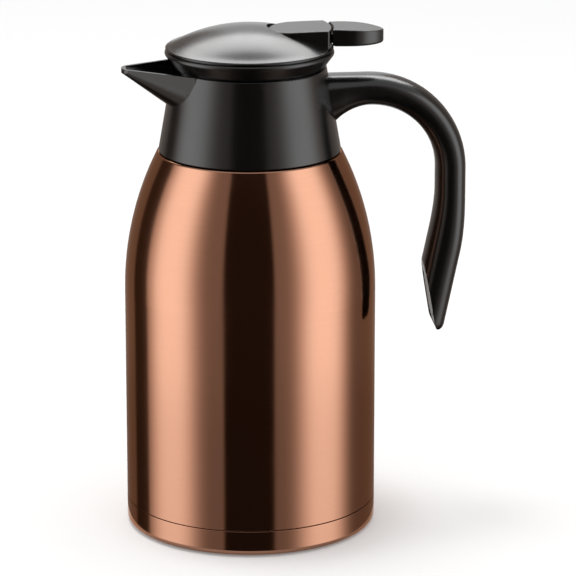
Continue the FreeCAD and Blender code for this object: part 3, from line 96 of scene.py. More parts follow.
@dataclass(frozen=True)
class Wiring:
    """Adds nodes to one node tree and links them."""

    tree: bpy.types.NodeTree  # a material's, a world's or a group's

    def add(self, kind: str, inputs: Inputs | None = None, **settings: object) -> Node:
        """Add a node.

        Args:
            kind: Blender's name of the node's type.
            inputs: What goes to its inputs, by their names or places.
            settings: Attributes of the node and their values.

        Returns:
            The new node.
        """
        node = self.tree.nodes.new(kind)
        for name, value in settings.items():
            setattr(node, name, value)
        for key, value in (inputs or {}).items():
            self.feed(node.inputs[key], value)
        return node

    def feed(self, socket: Socket, value: Value | Colour) -> None:
        """Link a value to an input, or set it there.

        Args:
            socket: The input.
            value: An output to link, a number, or a colour of three numbers.
        """
        if isinstance(value, Socket):
            self.tree.links.new(value, socket)
        elif isinstance(value, tuple) and socket.type == "RGBA":
            socket.default_value = (*value, 1.0)
        else:
            socket.default_value = value

    def math(self, operation: str, *values: Value) -> Socket:
        """Calculate with one to three values.

        Args:
            operation: Blender's name of the operation.
            values: Outputs or numbers, in the operation's order.

        Returns:
            The result's output.
        """
        return self.add("ShaderNodeMath", dict(enumerate(values)), operation=operation).outputs["Value"]

    def fitted(self, value: Value, low: Value, high: Value, from_low: float = 0.0,
               from_high: float = 1.0) -> Socket:
        """Map a value to another range and keep it inside.

        Args:
            value: The output to map.
            low: Result at the start of the old range.
            high: Result at its end.
            from_low: Start of the old range.
            from_high: End of the old range.

        Returns:
            The mapped output.
        """
        node = self.add("ShaderNodeMapRange", {"Value": value, "From Min": from_low, "From Max": from_high,
                                               "To Min": low, "To Max": high})
        return node.outputs["Result"]

    def noise(self, where: Socket, scale: Value, detail: float) -> Socket:
        """Add a noise texture.

        Args:
            where: Coordinates.
            scale: Noise cells per metre.
            detail: Octaves of finer noise.

        Returns:
            The noise's value, around 0.5.
        """
        node = self.add("ShaderNodeTexNoise", {"Vector": where, "Scale": scale, "Detail": detail})
        return node.outputs["Fac"]

    def mixed(self, share: Value, first: Value | Colour, second: Value | Colour) -> Socket:
        """Mix two colours.

        Args:
            share: How much of the second colour, from 0 to 1.
            first: Linear colour at 0.
            second: Linear colour at 1.

        Returns:
            The colour's output.
        """
        inputs = dict(zip(MIX_INPUTS, (share, first, second)))
        return self.add("ShaderNodeMix", inputs, data_type="RGBA").outputs[MIX_OUTPUT]

    def place(self) -> Socket:
        """The surface point in the object's own coordinates, which are the frame's."""
        return self.add("ShaderNodeTexCoord").outputs["Object"]

    def seen(self, path: Node) -> Socket:
        """Tell rays of the camera, of mirrors and through glass from those that light matt surfaces.

        Args:
            path: A light path node.

        Returns:
            The output, which is 1 for such rays.
        """
        mirrored = self.math("MAXIMUM", path.outputs["Is Glossy Ray"], path.outputs["Is Transmission Ray"])
        return self.math("MAXIMUM", path.outputs["Is Camera Ray"], mirrored)

    def show(self, shader: Node, kind: str = "ShaderNodeOutputMaterial") -> None:
        """Send a shader to the tree's output.

        Args:
            shader: The shader node.
            kind: Blender's name of the output node's type.
        """
        self.add(kind, {"Surface": shader.outputs[0]})


def fresh_wiring(owner: bpy.types.Material | bpy.types.World) -> Wiring:
    """Switch a material or the world to nodes and take out the ones it comes with.

    Args:
        owner: The material or the world.

    Returns:
        The wiring of its empty tree.
    """
    owner.use_nodes = True
    owner.node_tree.nodes.clear()
    return Wiring(owner.node_tree)


class EffectLibrary:
    """Builds each shared node group once and places it in materials."""

    LEAST_RADIUS = 0.001  # distance from the axis below which lines don't turn any further
    COARSENESS = 0.22  # scale of the coarse grain beside the fine one's
    FINE_WEIGHT = 0.7  # height of the fine grain beside the coarse one's
    GRAIN_RANGE = (0.3, 0.7)  # noise between which the grain's mask rises
    CLOUD_RANGE = (0.35, 0.7)  # noise between which the clouds' mask rises
    WIPE_STRETCH = 0.12  # shrinking of heights that draws the wiped streaks out
    WIPE_SCALE = 9.0  # scale of those streaks beside the clouds'
    WIPE_RANGE = (0.55, 0.8)  # noise between which the streaks' mask rises
    WIPE_WEIGHT = 0.35  # strength of the streaks beside the clouds'

    def __init__(self) -> None:
        """Build every group."""
        self.groups = {
            Effect.TURNED_LINES: self._turned_lines(),
            Effect.MOULD_GRAIN: self._mould_grain(),
            Effect.HANDLING_MARKS: self._handling_marks(),
        }

    @staticmethod
    def _new(effect: Effect, inputs: Sequence[str], outputs: Sequence[str]) -> tuple[Wiring, Node, Node]:
        """Start a group.

        Args:
            effect: The effect it is for.
            inputs: Names of its number inputs.
            outputs: Names of its number outputs.

        Returns:
            The group's wiring, its input node and its output node.
        """
        tree = bpy.data.node_groups.new(effect.value, "ShaderNodeTree")
        for name in inputs:
            tree.interface.new_socket(name=name, in_out="INPUT", socket_type="NodeSocketFloat")
        for name in outputs:
            tree.interface.new_socket(name=name, in_out="OUTPUT", socket_type="NodeSocketFloat")
        wiring = Wiring(tree)
        return wiring, wiring.add("NodeGroupInput"), wiring.add("NodeGroupOutput")

    def _turned_lines(self) -> bpy.types.NodeTree:
        """Fine lines around the upright axis, as turning and polishing leave them.

        Returns:
            A group with the inputs Lines, per metre, and Streaks, per turn, and the output Mask.
        """
        wiring, given, result = self._new(Effect.TURNED_LINES, ("Lines", "Streaks"), ("Mask",))
        across, along, height = wiring.add("ShaderNodeSeparateXYZ", {0: wiring.place()}).outputs
        radius = wiring.math("SQRT", wiring.math("ADD", wiring.math("MULTIPLY", across, across),
                                                 wiring.math("MULTIPLY", along, along)))
        safe = wiring.math("MAXIMUM", radius, self.LEAST_RADIUS)
        turns = [wiring.math("MULTIPLY", wiring.math("DIVIDE", part, safe), given.outputs["Streaks"])
                 for part in (across, along)]
        rise = wiring.math("MULTIPLY", wiring.math("ADD", height, radius), given.outputs["Lines"])
        lines = wiring.add("ShaderNodeCombineXYZ", dict(enumerate((*turns, rise))))
        wiring.feed(result.inputs["Mask"], wiring.noise(lines.outputs[0], 1.0, detail=2.0))
        return wiring.tree

    def _mould_grain(self) -> bpy.types.NodeTree:
        """Fine grain of a spark-eroded mould.

        Returns:
            A group with the input Scale, in grains per metre, and the outputs Height and Mask.
        """
        wiring, given, result = self._new(Effect.MOULD_GRAIN, ("Scale",), ("Height", "Mask"))
        where = wiring.place()
        fine = wiring.noise(where, given.outputs["Scale"], detail=2.0)
        scale = wiring.math("MULTIPLY", given.outputs["Scale"], self.COARSENESS)
        coarse = wiring.noise(where, scale, detail=3.0)
        wiring.feed(result.inputs["Height"], wiring.math("MULTIPLY_ADD", fine, self.FINE_WEIGHT, coarse))
        wiring.feed(result.inputs["Mask"], wiring.fitted(coarse, 0.0, 1.0, *self.GRAIN_RANGE))
        return wiring.tree

    def _handling_marks(self) -> bpy.types.NodeTree:
        """Broad soft clouds and faint wiped streaks, as hands and a cloth leave them.

        Returns:
            A group with the input Scale, in clouds per metre, and the output Mask.
        """
        wiring, given, result = self._new(Effect.HANDLING_MARKS, ("Scale",), ("Mask",))
        where = wiring.place()
        soft = wiring.noise(where, given.outputs["Scale"], detail=4.0)
        clouds = wiring.fitted(soft, 0.0, 1.0, *self.CLOUD_RANGE)
        stretch = wiring.add("ShaderNodeMapping", {"Vector": where, "Scale": (1.0, 1.0, self.WIPE_STRETCH)})
        scale = wiring.math("MULTIPLY", given.outputs["Scale"], self.WIPE_SCALE)
        wipes = wiring.noise(stretch.outputs[0], scale, detail=3.0)
        streaks = wiring.fitted(wipes, 0.0, 1.0, *self.WIPE_RANGE)
        wiring.feed(result.inputs["Mask"], wiring.math("MULTIPLY_ADD", streaks, self.WIPE_WEIGHT, clouds))
        return wiring.tree

    def use(self, wiring: Wiring, effect: Effect, **values: float) -> Node:
        """Place a group in a material.

        Args:
            wiring: The material's wiring.
            effect: The effect to place.
            values: Numbers for the group's inputs, by name.

        Returns:
            The group node.
        """
        return wiring.add("ShaderNodeGroup", values, node_tree=self.groups[effect])


@dataclass(frozen=True)
class Finish:
    """A surface finish that makes its own material."""

    slot: Slot  # the record's slot that the finish is for
    dark: Colour  # linear colour in its darker places
    light: Colour  # linear colour in its lighter places
    smooth: float  # its lowest roughness
    rough: float  # its highest roughness
    relief: float  # height of the surface's bumps, in metres

    def material(self, effects: EffectLibrary) -> bpy.types.Material:
        """Make the material.

        Args:
            effects: The shared node groups.

        Returns:
            The finished material.
        """
        made = bpy.data.materials.new(self.slot.value)
        wiring = fresh_wiring(made)
        tint, wear, height = self.surface(wiring, effects)
        bump = wiring.add("ShaderNodeBump", {"Distance": self.relief, "Height": height})
        wiring.show(wiring.add("ShaderNodeBsdfPrincipled", {
            "Base Color": wiring.mixed(tint, self.dark, self.light),
            "Roughness": wiring.fitted(wear, self.smooth, self.rough),
            "Normal": bump.outputs[0], **self.plain()}))
        return made

    def plain(self) -> Inputs:
        """Shader values that are the same all over."""
        raise NotImplementedError

    def surface(self, wiring: Wiring, effects: EffectLibrary) -> tuple[Value, Value, Value]:
        """Make what changes over the surface.

        Args:
            wiring: The material's wiring.
            effects: The shared node groups.

        Returns:
            The outputs that drive the tint, the roughness and the relief.
        """
        raise NotImplementedError


@dataclass(frozen=True)
class CopperLacquer(Finish):
    """Tinted clear lacquer over polished steel."""

    lines: float = 5200.0  # polishing lines per metre
    streaks: float = 3.0  # changes of a line in one turn
    coat: float = 0.05  # weight of the clear top coat
    coat_roughness: float = 0.06  # roughness of that coat
    edge: Colour = (0.86, 0.64, 0.52)  # tint of the reflection where the surface turns away
    clouds: float = 16.0  # handling marks per metre

    def plain(self) -> Inputs:
        """Shader values that are the same all over."""
        return {"Metallic": 1.0, "Coat Weight": self.coat, "Coat Roughness": self.coat_roughness,
                "Specular Tint": self.edge}

    def surface(self, wiring: Wiring, effects: EffectLibrary) -> tuple[Value, Value, Value]:
        """Lines around the body tint it, and marks change its gloss a little.

        Args:
            wiring: The material's wiring.
            effects: The shared node groups.

        Returns:
            The outputs that drive the tint, the roughness and the relief.
        """
        lines = effects.use(wiring, Effect.TURNED_LINES, Lines=self.lines, Streaks=self.streaks)
        marks = effects.use(wiring, Effect.HANDLING_MARKS, Scale=self.clouds)
        return lines.outputs["Mask"], marks.outputs["Mask"], lines.outputs["Mask"]


@dataclass(frozen=True)
class BrushedSteel(Finish):
    """Bare stainless steel with lines around its axis."""

    lines: float = 2600.0  # brush lines per metre
    streaks: float = 5.0  # changes of a line in one turn

    def plain(self) -> Inputs:
        """Shader values that are the same all over."""
        return {"Metallic": 1.0}

    def surface(self, wiring: Wiring, effects: EffectLibrary) -> tuple[Value, Value, Value]:
        """The lines drive tint, gloss and relief alike.

        Args:
            wiring: The material's wiring.
            effects: The shared node groups.

        Returns:
            The outputs that drive the tint, the roughness and the relief.
        """
        lines = effects.use(wiring, Effect.TURNED_LINES, Lines=self.lines, Streaks=self.streaks)
        return (lines.outputs["Mask"],) * 3


@dataclass(frozen=True)
class MouldedPlastic(Finish):
    """Plastic or rubber with the grain of its mould."""

    grains: float = 2400.0  # grains per metre
    clouds: float = 22.0  # handling marks per metre
    specular: float = 0.5  # specular level of the shader

    def plain(self) -> Inputs:
        """Shader values that are the same all over."""
        return {"Specular IOR Level": self.specular}

    def surface(self, wiring: Wiring, effects: EffectLibrary) -> tuple[Value, Value, Value]:
        """The grain drives tint and relief, and marks change the gloss.

        Args:
            wiring: The material's wiring.
            effects: The shared node groups.

        Returns:
            The outputs that drive the tint, the roughness and the relief.
        """
        grain = effects.use(wiring, Effect.MOULD_GRAIN, Scale=self.grains)
        marks = effects.use(wiring, Effect.HANDLING_MARKS, Scale=self.clouds)
        return grain.outputs["Mask"], marks.outputs["Mask"], grain.outputs["Height"]


FINISHES: tuple[Finish, ...] = (
    CopperLacquer(Slot.COPPER, dark=(0.299, 0.154, 0.101), light=(0.329, 0.172, 0.115),
                  smooth=0.09, rough=0.14, relief=0.8e-6),
    BrushedSteel(Slot.STEEL, dark=(0.50, 0.50, 0.51), light=(0.66, 0.66, 0.66),
                 smooth=0.20, rough=0.38, relief=3e-6),
    MouldedPlastic(Slot.PLASTIC, dark=(0.0018, 0.0018, 0.0019), light=(0.0030, 0.0030, 0.0031),
                   smooth=0.20, rough=0.27, relief=6e-6),
    MouldedPlastic(Slot.INNER, dark=(0.020, 0.020, 0.021), light=(0.027, 0.027, 0.028),
                   smooth=0.42, rough=0.55, relief=14e-6),
    MouldedPlastic(Slot.SILICONE, dark=(0.030, 0.030, 0.031), light=(0.040, 0.040, 0.041),
                   smooth=0.55, rough=0.72, relief=18e-6, specular=0.35),
)


class Wardrobe:
    """Holds one material for each slot and dresses pieces with it."""

    def __init__(self) -> None:
        """Make the materials."""
        effects = EffectLibrary()
        self.materials = {finish.slot: finish.material(effects) for finish in FINISHES}

    def dress(self, thing: bpy.types.Object, slot: Slot) -> None:
        """Give a piece or a frame node the material of a slot.

        Args:
            thing: The mesh object.
            slot: The slot whose finish it takes.
        """
        thing.data.materials.clear()
        thing.data.materials.append(self.materials[slot])
        for face in thing.data.polygons:
            face.material_index = 0

    def dress_nodes(self, slot: Slot, *names: str) -> None:
        """Give frame nodes the material of a slot.

        Args:
            slot: The slot whose finish they take.
            names: The nodes' names.
        """
        for name in names:
            self.dress(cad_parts[name], slot)
            LOG.info("node %s: %s", name, slot.value)


def mesh_object(name: str, shape: Shape, crease: float = 180.0) -> bpy.types.Object:
    """Make an object of a mesh, smooth where its faces meet at less than an angle.

    Args:
        name: Name of the piece.
        shape: The mesh, which is freed.
        crease: The angle, in degrees.

    Returns:
        The object, linked to the scene.
    """
    bmesh.ops.recalc_face_normals(shape, faces=shape.faces)
    mesh = bpy.data.meshes.new(name)
    shape.to_mesh(mesh)
    shape.free()
    mesh.shade_smooth()
    mesh.set_sharp_from_angle(angle=math.radians(crease))
    made = bpy.data.objects.new(name, mesh)
    bpy.context.scene.collection.objects.link(made)
    return made


def add_piece(made: bpy.types.Object, body: Body, slot: Slot, wardrobe: Wardrobe, *nodes: str) -> None:
    """Dress a made piece and put it on its body.

    Args:
        made: The piece.
        body: The body that it rides on.
        slot: The slot of its finish.
        wardrobe: The materials.
        nodes: Frame nodes that it stands for.
    """
    wardrobe.dress(made, slot)
    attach(made, body.value)
    if nodes:
        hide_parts(*nodes)
    LOG.info("piece %s: %s, %d faces", made.name, slot.value, len(made.data.polygons))


def skin(shape: Shape, rings: Sequence[Sequence[bmesh.types.BMVert]], ends: bool) -> None:
    """Join rings of equally many corners with faces. A ring may be one corner again and again.

    Args:
        shape: The mesh that holds the corners.
        rings: The rings, in order.
        ends: Whether the first and the last ring are closed too.
    """
    for first, second in zip(rings, rings[1:]):
        for side in range(len(first)):
            following = (side + 1) % len(first)
            shape.faces.new(dict.fromkeys((first[side], first[following], second[following], second[side])))
    if ends:
        shape.faces.new(rings[0])
        shape.faces.new(rings[-1])


def lathe(profile: Sequence[tuple[float, float]], steps: int) -> Shape:
    """Turn a closed profile around the upright axis.

    Args:
        profile: Corners of radius and height. The first and the last lie on the axis.
        steps: Sides around.

    Returns:
        The closed mesh.
    """
    shape = bmesh.new()
    rings = []
    for radius, height in profile:
        if radius == 0:
            rings.append([shape.verts.new((0.0, 0.0, height))] * steps)
            continue
        angles = [2 * math.pi * step / steps for step in range(steps)]
        rings.append([shape.verts.new((radius * math.cos(angle), radius * math.sin(angle), height))
                      for angle in angles])
    skin(shape, rings, False)
    return shape


def tube(path: Sequence[Vector], radius: float, sides: int) -> Shape:
    """Sweep a round wire along a path with flat ends.

    Args:
        path: Points of its middle line.
        radius: Radius of the wire.
        sides: Sides around the wire.

    Returns:
        The closed mesh.
    """
    shape = bmesh.new()
    rings = []
    for index, point in enumerate(path):
        way = path[min(index + 1, len(path) - 1)] - path[max(index - 1, 0)]
        outward = Vector((point.x, point.y, 0.0)).normalized()
        upward = way.cross(outward).normalized()
        outward = upward.cross(way).normalized()
        angles = [2 * math.pi * side / sides for side in range(sides)]
        spokes = [math.cos(angle) * outward + math.sin(angle) * upward for angle in angles]
        rings.append([shape.verts.new(point + radius * spoke) for spoke in spokes])
    skin(shape, rings, True)
    return shape


@dataclass
class SteelJug:
    """Lacquered shell and base cup, the bare liner inside, and the pad underneath."""

    ridges: int = 6  # moulded rings under the pad
    ridge_width: float = 0.0030  # width of such a ring at its top
    ridge_depth: float = 0.0005  # depth of the grooves between the rings
    rim_width: float = 0.0060  # width of the flat rim outside them
    edge: float = 0.0006  # rounding of the pad's lower edge
    edge_steps: int = 6  # steps of that rounding
    steps: int = 180  # sides of the pad
    crease: float = 30.0  # angle of the pad's sharp edges, in degrees

    def build(self) -> bpy.types.Object:
        """Make the pad with its moulded rings.

        Returns:
            The pad, in the place of the frame's plain one.
        """
        low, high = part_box("base_pad")
        radius = high.x
        ring_reach = radius - self.rim_width
        pitch = ring_reach / self.ridges
        slope = self.ridge_depth
        groove = low.z + self.ridge_depth
        profile = [(0.0, groove)]
        for ridge in range(1, self.ridges + 1):
            outer = pitch * ridge - self.ridge_width / 2
            inner = outer - self.ridge_width
            profile += [(inner - slope, groove), (inner, low.z), (outer, low.z), (outer + slope, groove)]
        profile += [(ring_reach, groove), (ring_reach + slope, low.z)]
        for step in range(self.edge_steps + 1):
            angle = math.pi / 2 * step / self.edge_steps
            profile.append((radius - self.edge * (1 - math.sin(angle)),
                            low.z + self.edge * (1 - math.cos(angle))))
        profile += [(radius, high.z), (0.0, high.z)]
        return mesh_object("base_pad_ribbed", lathe(profile, self.steps), self.crease)

    def dress(self, wardrobe: Wardrobe) -> None:
        """Dress the jug.

        Args:
            wardrobe: The materials.
        """
        wardrobe.dress_nodes(Slot.COPPER, "outer_shell", "base_cup")
        wardrobe.dress_nodes(Slot.STEEL, "inner_liner", "shell_bottom", "getter")
        add_piece(self.build(), Body.CARAFE, Slot.SILICONE, wardrobe, "base_pad")


@dataclass
class CollarAndSpout:
    """The black collar with its spout, and what clamps it on the steel neck."""

    black: tuple[str, ...] = ("collar",)
    clamp: tuple[str, ...] = ("neck_ring",)
    seals: tuple[str, ...] = ("neck_seal",)

    def dress(self, wardrobe: Wardrobe) -> None:
        """Dress the collar.

        Args:
            wardrobe: The materials.
        """
        wardrobe.dress_nodes(Slot.PLASTIC, *self.black)
        wardrobe.dress_nodes(Slot.INNER, *self.clamp)
        wardrobe.dress_nodes(Slot.SILICONE, *self.seals)


@dataclass(frozen=True)
class Station:
    """One section of the handle."""

    reach: float  # its middle from the jug's axis
    height: float  # height of its middle
    turn: float  # angle of the handle's way there, in radians down from the arm's
    half_depth: float  # half of its depth, across the way
    half_width: float  # half of its width, along Y
    shrink: float = 1.0  # share of its size that the rounded tip leaves

    @property
    def middle(self) -> Vector:
        """Its middle point."""
        return Vector((self.reach, 0.0, self.height))

    @property
    def outward(self) -> Vector:
        """Direction of its depth, away from the fingers."""
        return Vector((math.sin(self.turn), 0.0, math.cos(self.turn)))


@dataclass
class HookHandle:
    """The hook handle with its round section and rounded tip, the plate in its end and its screws."""

    arm_start: float = 0.0380  # reach at which the arm's line starts, inside the collar
    root_share: float = 0.24  # share of that line at which the handle's first section is taken
    arm_share: float = 0.38  # share at which its next one is
    arm_top: float = 0.2418  # height of the arm's top
    arm_half: float = 0.0081  # half height of the arm before the bend
    root_half: float = 0.0153  # half height of the arm at its start
    root_swell: float = 0.0020  # half width that the arm gains towards the collar
    half_width: float = 0.0124
    grip_reach: float = 0.1056  # middle of the grip from the jug's axis
    grip_half: float = 0.00785
    bend_radius: float = 0.0430
    straight: float = 0.0107  # straight grip below the bend
    curve_radius: float = 0.1600  # radius of the inward curve
    tilt: float = 11.8  # tilt of the tail, in degrees
    tail_length: float = 0.0440  # straight tail below the curve
    tail_half: float = 0.0092
    cut_tilt: float = 9.5  # tilt of the slanted end, in degrees
    cut_reach: float = 0.09697  # reach of the slanted end at its height
    cut_height: float = 0.1064  # height at which it has that reach
    tip_round: float = 0.0042  # length of the rounded tip
    fullness: float = 2.5  # power of the section's curve: 2 is an ellipse, more is fuller
    rim: float = 0.0013  # rim around the recess in the slanted end
    recess: float = 0.0006  # depth of that recess
    recess_from: float = 0.0020  # start of the recess from the tail's end
    recess_to: float = 0.0300  # end of the recess from the tail's end
    recess_flat: float = 0.7  # recess only where the cut is within this share of the half depth
    rim_share: float = 0.6  # width inside the rim, beside the flat's, that is left at least
    floor_share: float = 0.5  # width of the recess's floor, beside the flat's, that is left at least
    sink: float = 0.0003  # root inside the collar's surface
    collar_foot_radius: float = 0.0477  # radius of the collar at its foot
    collar_rim_radius: float = 0.0400  # radius of the collar at its rim
    collar_rim: float = 0.2468  # height of that rim
    arc_points: int = 48  # points of a section's outer curve
    arc_low: float = -55.0  # lowest angle of that curve, in degrees
    flat_points: int = 13  # points across its inner side
    arm_steps: int = 10  # sections of the arm after the first
    bend_steps: int = 24
    straight_steps: int = 5
    curve_steps: int = 16
    tail_steps: int = 30
    tip_steps: int = 10
    tip_least: float = 0.004  # square of the share that is left of the last section
    crease: float = 38.0  # angle of sharp edges, in degrees

    def collar_radius(self, height: float) -> float:
        """Radius of the collar that the handle's root ends on.

        Args:
            height: Height on the collar.

        Returns:
            The radius, a little inside the collar's surface.
        """
        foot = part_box("collar")[0].z
        share = (height - foot) / (self.collar_rim - foot)
        taper = self.collar_rim_radius - self.collar_foot_radius
        return self.collar_foot_radius + taper * share - self.sink

    def stations(self) -> list[Station]:
        """The handle's sections from the collar to its tip.

        Returns:
            The sections, with the arm's first ones swelling and the tail's last ones shrinking.
        """
        bend_reach = self.grip_reach - self.bend_radius
        bend_height = self.arm_top - self.arm_half - self.bend_radius
        curve_height = bend_height - self.straight
        tilt = math.radians(self.tilt)
        wide = self.half_width
        made = []
        arm = (self.arm_share + (1 - self.arm_share) * step / self.arm_steps
               for step in range(self.arm_steps))
        for share in (self.root_share, *arm):
            swell = (1 - share) ** 2
            half = self.arm_half + (self.root_half - self.arm_half) * swell
            made.append(Station(self.arm_start + (bend_reach - self.arm_start) * share, self.arm_top - half,
                                0.0, half, wide + self.root_swell * swell))
        for step in range(self.bend_steps + 1):
            turn = math.pi / 2 * step / self.bend_steps
            half = self.arm_half + (self.grip_half - self.arm_half) * step / self.bend_steps
            made.append(Station(bend_reach + self.bend_radius * math.sin(turn),
                                bend_height + self.bend_radius * math.cos(turn), turn, half, wide))
        for step in range(1, self.straight_steps):
            made.append(Station(self.grip_reach, bend_height - self.straight * step / self.straight_steps,
                                math.pi / 2, self.grip_half, wide))
        for step in range(self.curve_steps + 1):
            share = step / self.curve_steps
            eased = share * share * (3 - 2 * share)
            made.append(Station(self.grip_reach - self.curve_radius * (1 - math.cos(tilt * share)),
                                curve_height - self.curve_radius * math.sin(tilt * share),
                                math.pi / 2 + tilt * share,
                                self.grip_half + (self.tail_half - self.grip_half) * eased, wide))
        start = made[-1]
        plain = self.tail_length - self.tip_round
        ways = [plain * step / self.tail_steps for step in range(1, self.tail_steps + 1)]
        ways += [plain + self.tip_round * math.sin(math.pi / 2 * step / self.tip_steps)
                 for step in range(1, self.tip_steps + 1)]
        for way in ways:
            past = max(0.0, (way - plain) / self.tip_round)
            made.append(Station(start.reach - way * math.sin(tilt), start.height - way * math.cos(tilt),
                                start.turn, self.tail_half, wide,
                                math.sqrt(max(self.tip_least, 1 - past ** 2))))
        return made

    def cut_depth(self, station: Station) -> float:
        """Where the slanted end cuts a section.

        Args:
            station: The section.

        Returns:
            The cut's place along the section's depth, or the section's inner side where nothing is cut.
        """
        if station.turn < math.pi / 2:
            return -station.half_depth
        cut = math.radians(self.cut_tilt)
        facing = Vector((math.cos(cut), 0.0, math.sin(cut)))
        edge = Vector((self.cut_reach, 0.0, self.cut_height))
        return max(-station.half_depth, (edge - station.middle).dot(facing) / station.outward.dot(facing))

    def section(self, station: Station, end: Vector) -> list[tuple[float, float]]:
        """Outline of a section: the outer curve, and the inner side cut flat by the slanted end.

        Args:
            station: The section.
            end: Point of the tail's end on its middle line.

        Returns:
            Points across the handle and along its depth, once around.
        """
        power, depth, wide = self.fullness, station.half_depth, station.half_width
        flat = self.cut_depth(station)
        rise = math.copysign(abs(flat / depth) ** (power / 2), flat)
        split = max(math.asin(rise), math.radians(self.arc_low))
        points = []
        for step in range(self.arc_points + 1):
            angle = split + (math.pi - 2 * split) * step / self.arc_points
            points.append((wide * math.copysign(abs(math.cos(angle)) ** (2 / power), math.cos(angle)),
                           depth * math.copysign(abs(math.sin(angle)) ** (2 / power), math.sin(angle))))
        half = points[0][0]
        inside = max(half - self.rim, self.rim_share * half)
        floor = max(half - self.rim - self.recess / 2, self.floor_share * half)
        count = self.flat_points - 2
        places = [inside, *(floor * (1 - 2 * step / (count - 1)) for step in range(count)), -inside]
        along = (end - station.middle).length
        sunken = self.recess_from < along < self.recess_to and flat > -self.recess_flat * depth
        sunk = self.recess if sunken else 0.0
        for place in reversed(places):
            curve = -depth * (1 - min(1.0, abs(place) / wide) ** power) ** (1 / power)
            low = max(curve, flat)
            points.append((place, low + (sunk if abs(place) < inside else 0.0)))
        centre = (depth + flat) / 2
        return [(across * station.shrink ** 0.5, centre + (deep - centre) * station.shrink)
                for across, deep in points]

    def build(self) -> bpy.types.Object:
        """Make the handle.

        Returns:
            The handle, in the place of the frame's one.
        """
        stations = self.stations()
        end = stations[-1].middle
        shape = bmesh.new()
        rings = []
        for station in stations:
            ring = []
            for across, deep in self.section(station, end):
                place = Vector((station.reach, across, station.height)) + deep * station.outward
                if station is stations[0]:
                    place.x = math.sqrt(self.collar_radius(place.z) ** 2 - across ** 2)
                ring.append(shape.verts.new(place))
            rings.append(ring)
        skin(shape, rings, True)
        return mesh_object("hook_handle", shape, self.crease)

    def dress(self, wardrobe: Wardrobe) -> None:
        """Dress the handle.

        Args:
            wardrobe: The materials.
        """
        add_piece(self.build(), Body.CARAFE, Slot.PLASTIC, wardrobe, "handle")
        wardrobe.dress_nodes(Slot.PLASTIC, "handle_plug")
        wardrobe.dress_nodes(Slot.STEEL, "handle_screws")


@dataclass
class PouringLid:
    """Ring, stopper and dome of the lid, with the plate that guides the valve."""

    black: tuple[str, ...] = ("lid_ring", "stopper_body", "lid_dome", "lever_cover", "thumb_lever")
    inside: tuple[str, ...] = ("stem_guide",)
    metal: tuple[str, ...] = ("guide_screws", "lever_pin")
    seals: tuple[str, ...] = ("stopper_seal", "stem_seal")

    def dress(self, wardrobe: Wardrobe) -> None:
        """Dress the lid and its thumb lever.

        Args:
            wardrobe: The materials.
        """
        wardrobe.dress_nodes(Slot.PLASTIC, *self.black)
        wardrobe.dress_nodes(Slot.INNER, *self.inside)
        wardrobe.dress_nodes(Slot.STEEL, *self.metal)
        wardrobe.dress_nodes(Slot.SILICONE, *self.seals)


@dataclass
class ValveGear:
    """The valve on its stem and the coil spring that holds it shut."""

    wire: float = 0.0007  # radius of the spring's wire
    turns: float = 6.0  # all turns of the spring
    closed_turns: float = 0.75  # closed turns at each end
    turn_steps: int = 40  # points of the coil in one turn
    sides: int = 12
    crease: float = 60.0  # angle of sharp edges, in degrees
    joint: str = "valve_lift"  # the joint that presses the spring together

    def coil_height(self, turn: float, span: float) -> float:
        """Height of the wire's middle line above the coil's foot.

        Args:
            turn: Turns from the foot.
            span: Height of the middle line at the last turn.

        Returns:
            The height, which rises by the wire's width in a closed turn and evenly in the open ones.
        """
        width = 2 * self.wire
        closed_rise = width * self.closed_turns
        if turn < self.closed_turns:
            return width * turn
        if turn > self.turns - self.closed_turns:
            return span - width * (self.turns - turn)
        open_turns = self.turns - 2 * self.closed_turns
        return closed_rise + (span - 2 * closed_rise) * (turn - self.closed_turns) / open_turns

    def build(self) -> bpy.types.Object:
        """Make the coil spring.

        Returns:
            The spring, in the place of the frame's one.
        """
        low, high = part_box("valve_spring")
        radius = high.x - self.wire
        span = high.z - low.z - 2 * self.wire
        path = []
        for step in range(round(self.turns * self.turn_steps) + 1):
            turn = step / self.turn_steps
            angle = 2 * math.pi * turn
            path.append(Vector((radius * math.cos(angle), radius * math.sin(angle),
                                low.z + self.wire + self.coil_height(turn, span))))
        return mesh_object("valve_coil", tube(path, self.wire, self.sides), self.crease)

    def dress(self, wardrobe: Wardrobe) -> None:
        """Dress the valve and hang the spring between plate and guide.

        Args:
            wardrobe: The materials.
        """
        wardrobe.dress_nodes(Slot.INNER, "valve_stem", "stem_cap")
        wardrobe.dress_nodes(Slot.SILICONE, "valve_seal")
        spring = self.build()
        add_piece(spring, Body.LID, Slot.STEEL, wardrobe, "valve_spring")
        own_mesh(spring)


@dataclass(frozen=True)
class Softbox:
    """A bright soft panel of the light tent."""

    azimuth: float  # degrees to the camera's right, seen from the jug
    half_width: float  # degrees from its middle to half its brightness
    radiance: float  # brightness at its middle
    falloff: float = 3.0  # power of its fading: the higher, the flatter its middle


@dataclass(frozen=True)
class Card:
    """A dark panel in front of the light tent."""

    azimuth: float  # degrees to the camera's right, seen from the jug
    half_width: float  # degrees from its middle to its edge
    edge: float  # degrees in which its edge fades
    shine: float  # share of the tent's light that it still gives


@dataclass(frozen=True)
class Lamp:
    """An area lamp that looks at the jug."""

    name: str
    azimuth: float  # degrees to the camera's right, seen from the jug
    elevation: float  # degrees above the horizon
    distance: float  # lamp from the jug
    size: tuple[float, float]  # width and height of the lamp
    watts: float
    mirrored: bool  # whether reflections show it
    shading: bool  # whether it lights matt surfaces


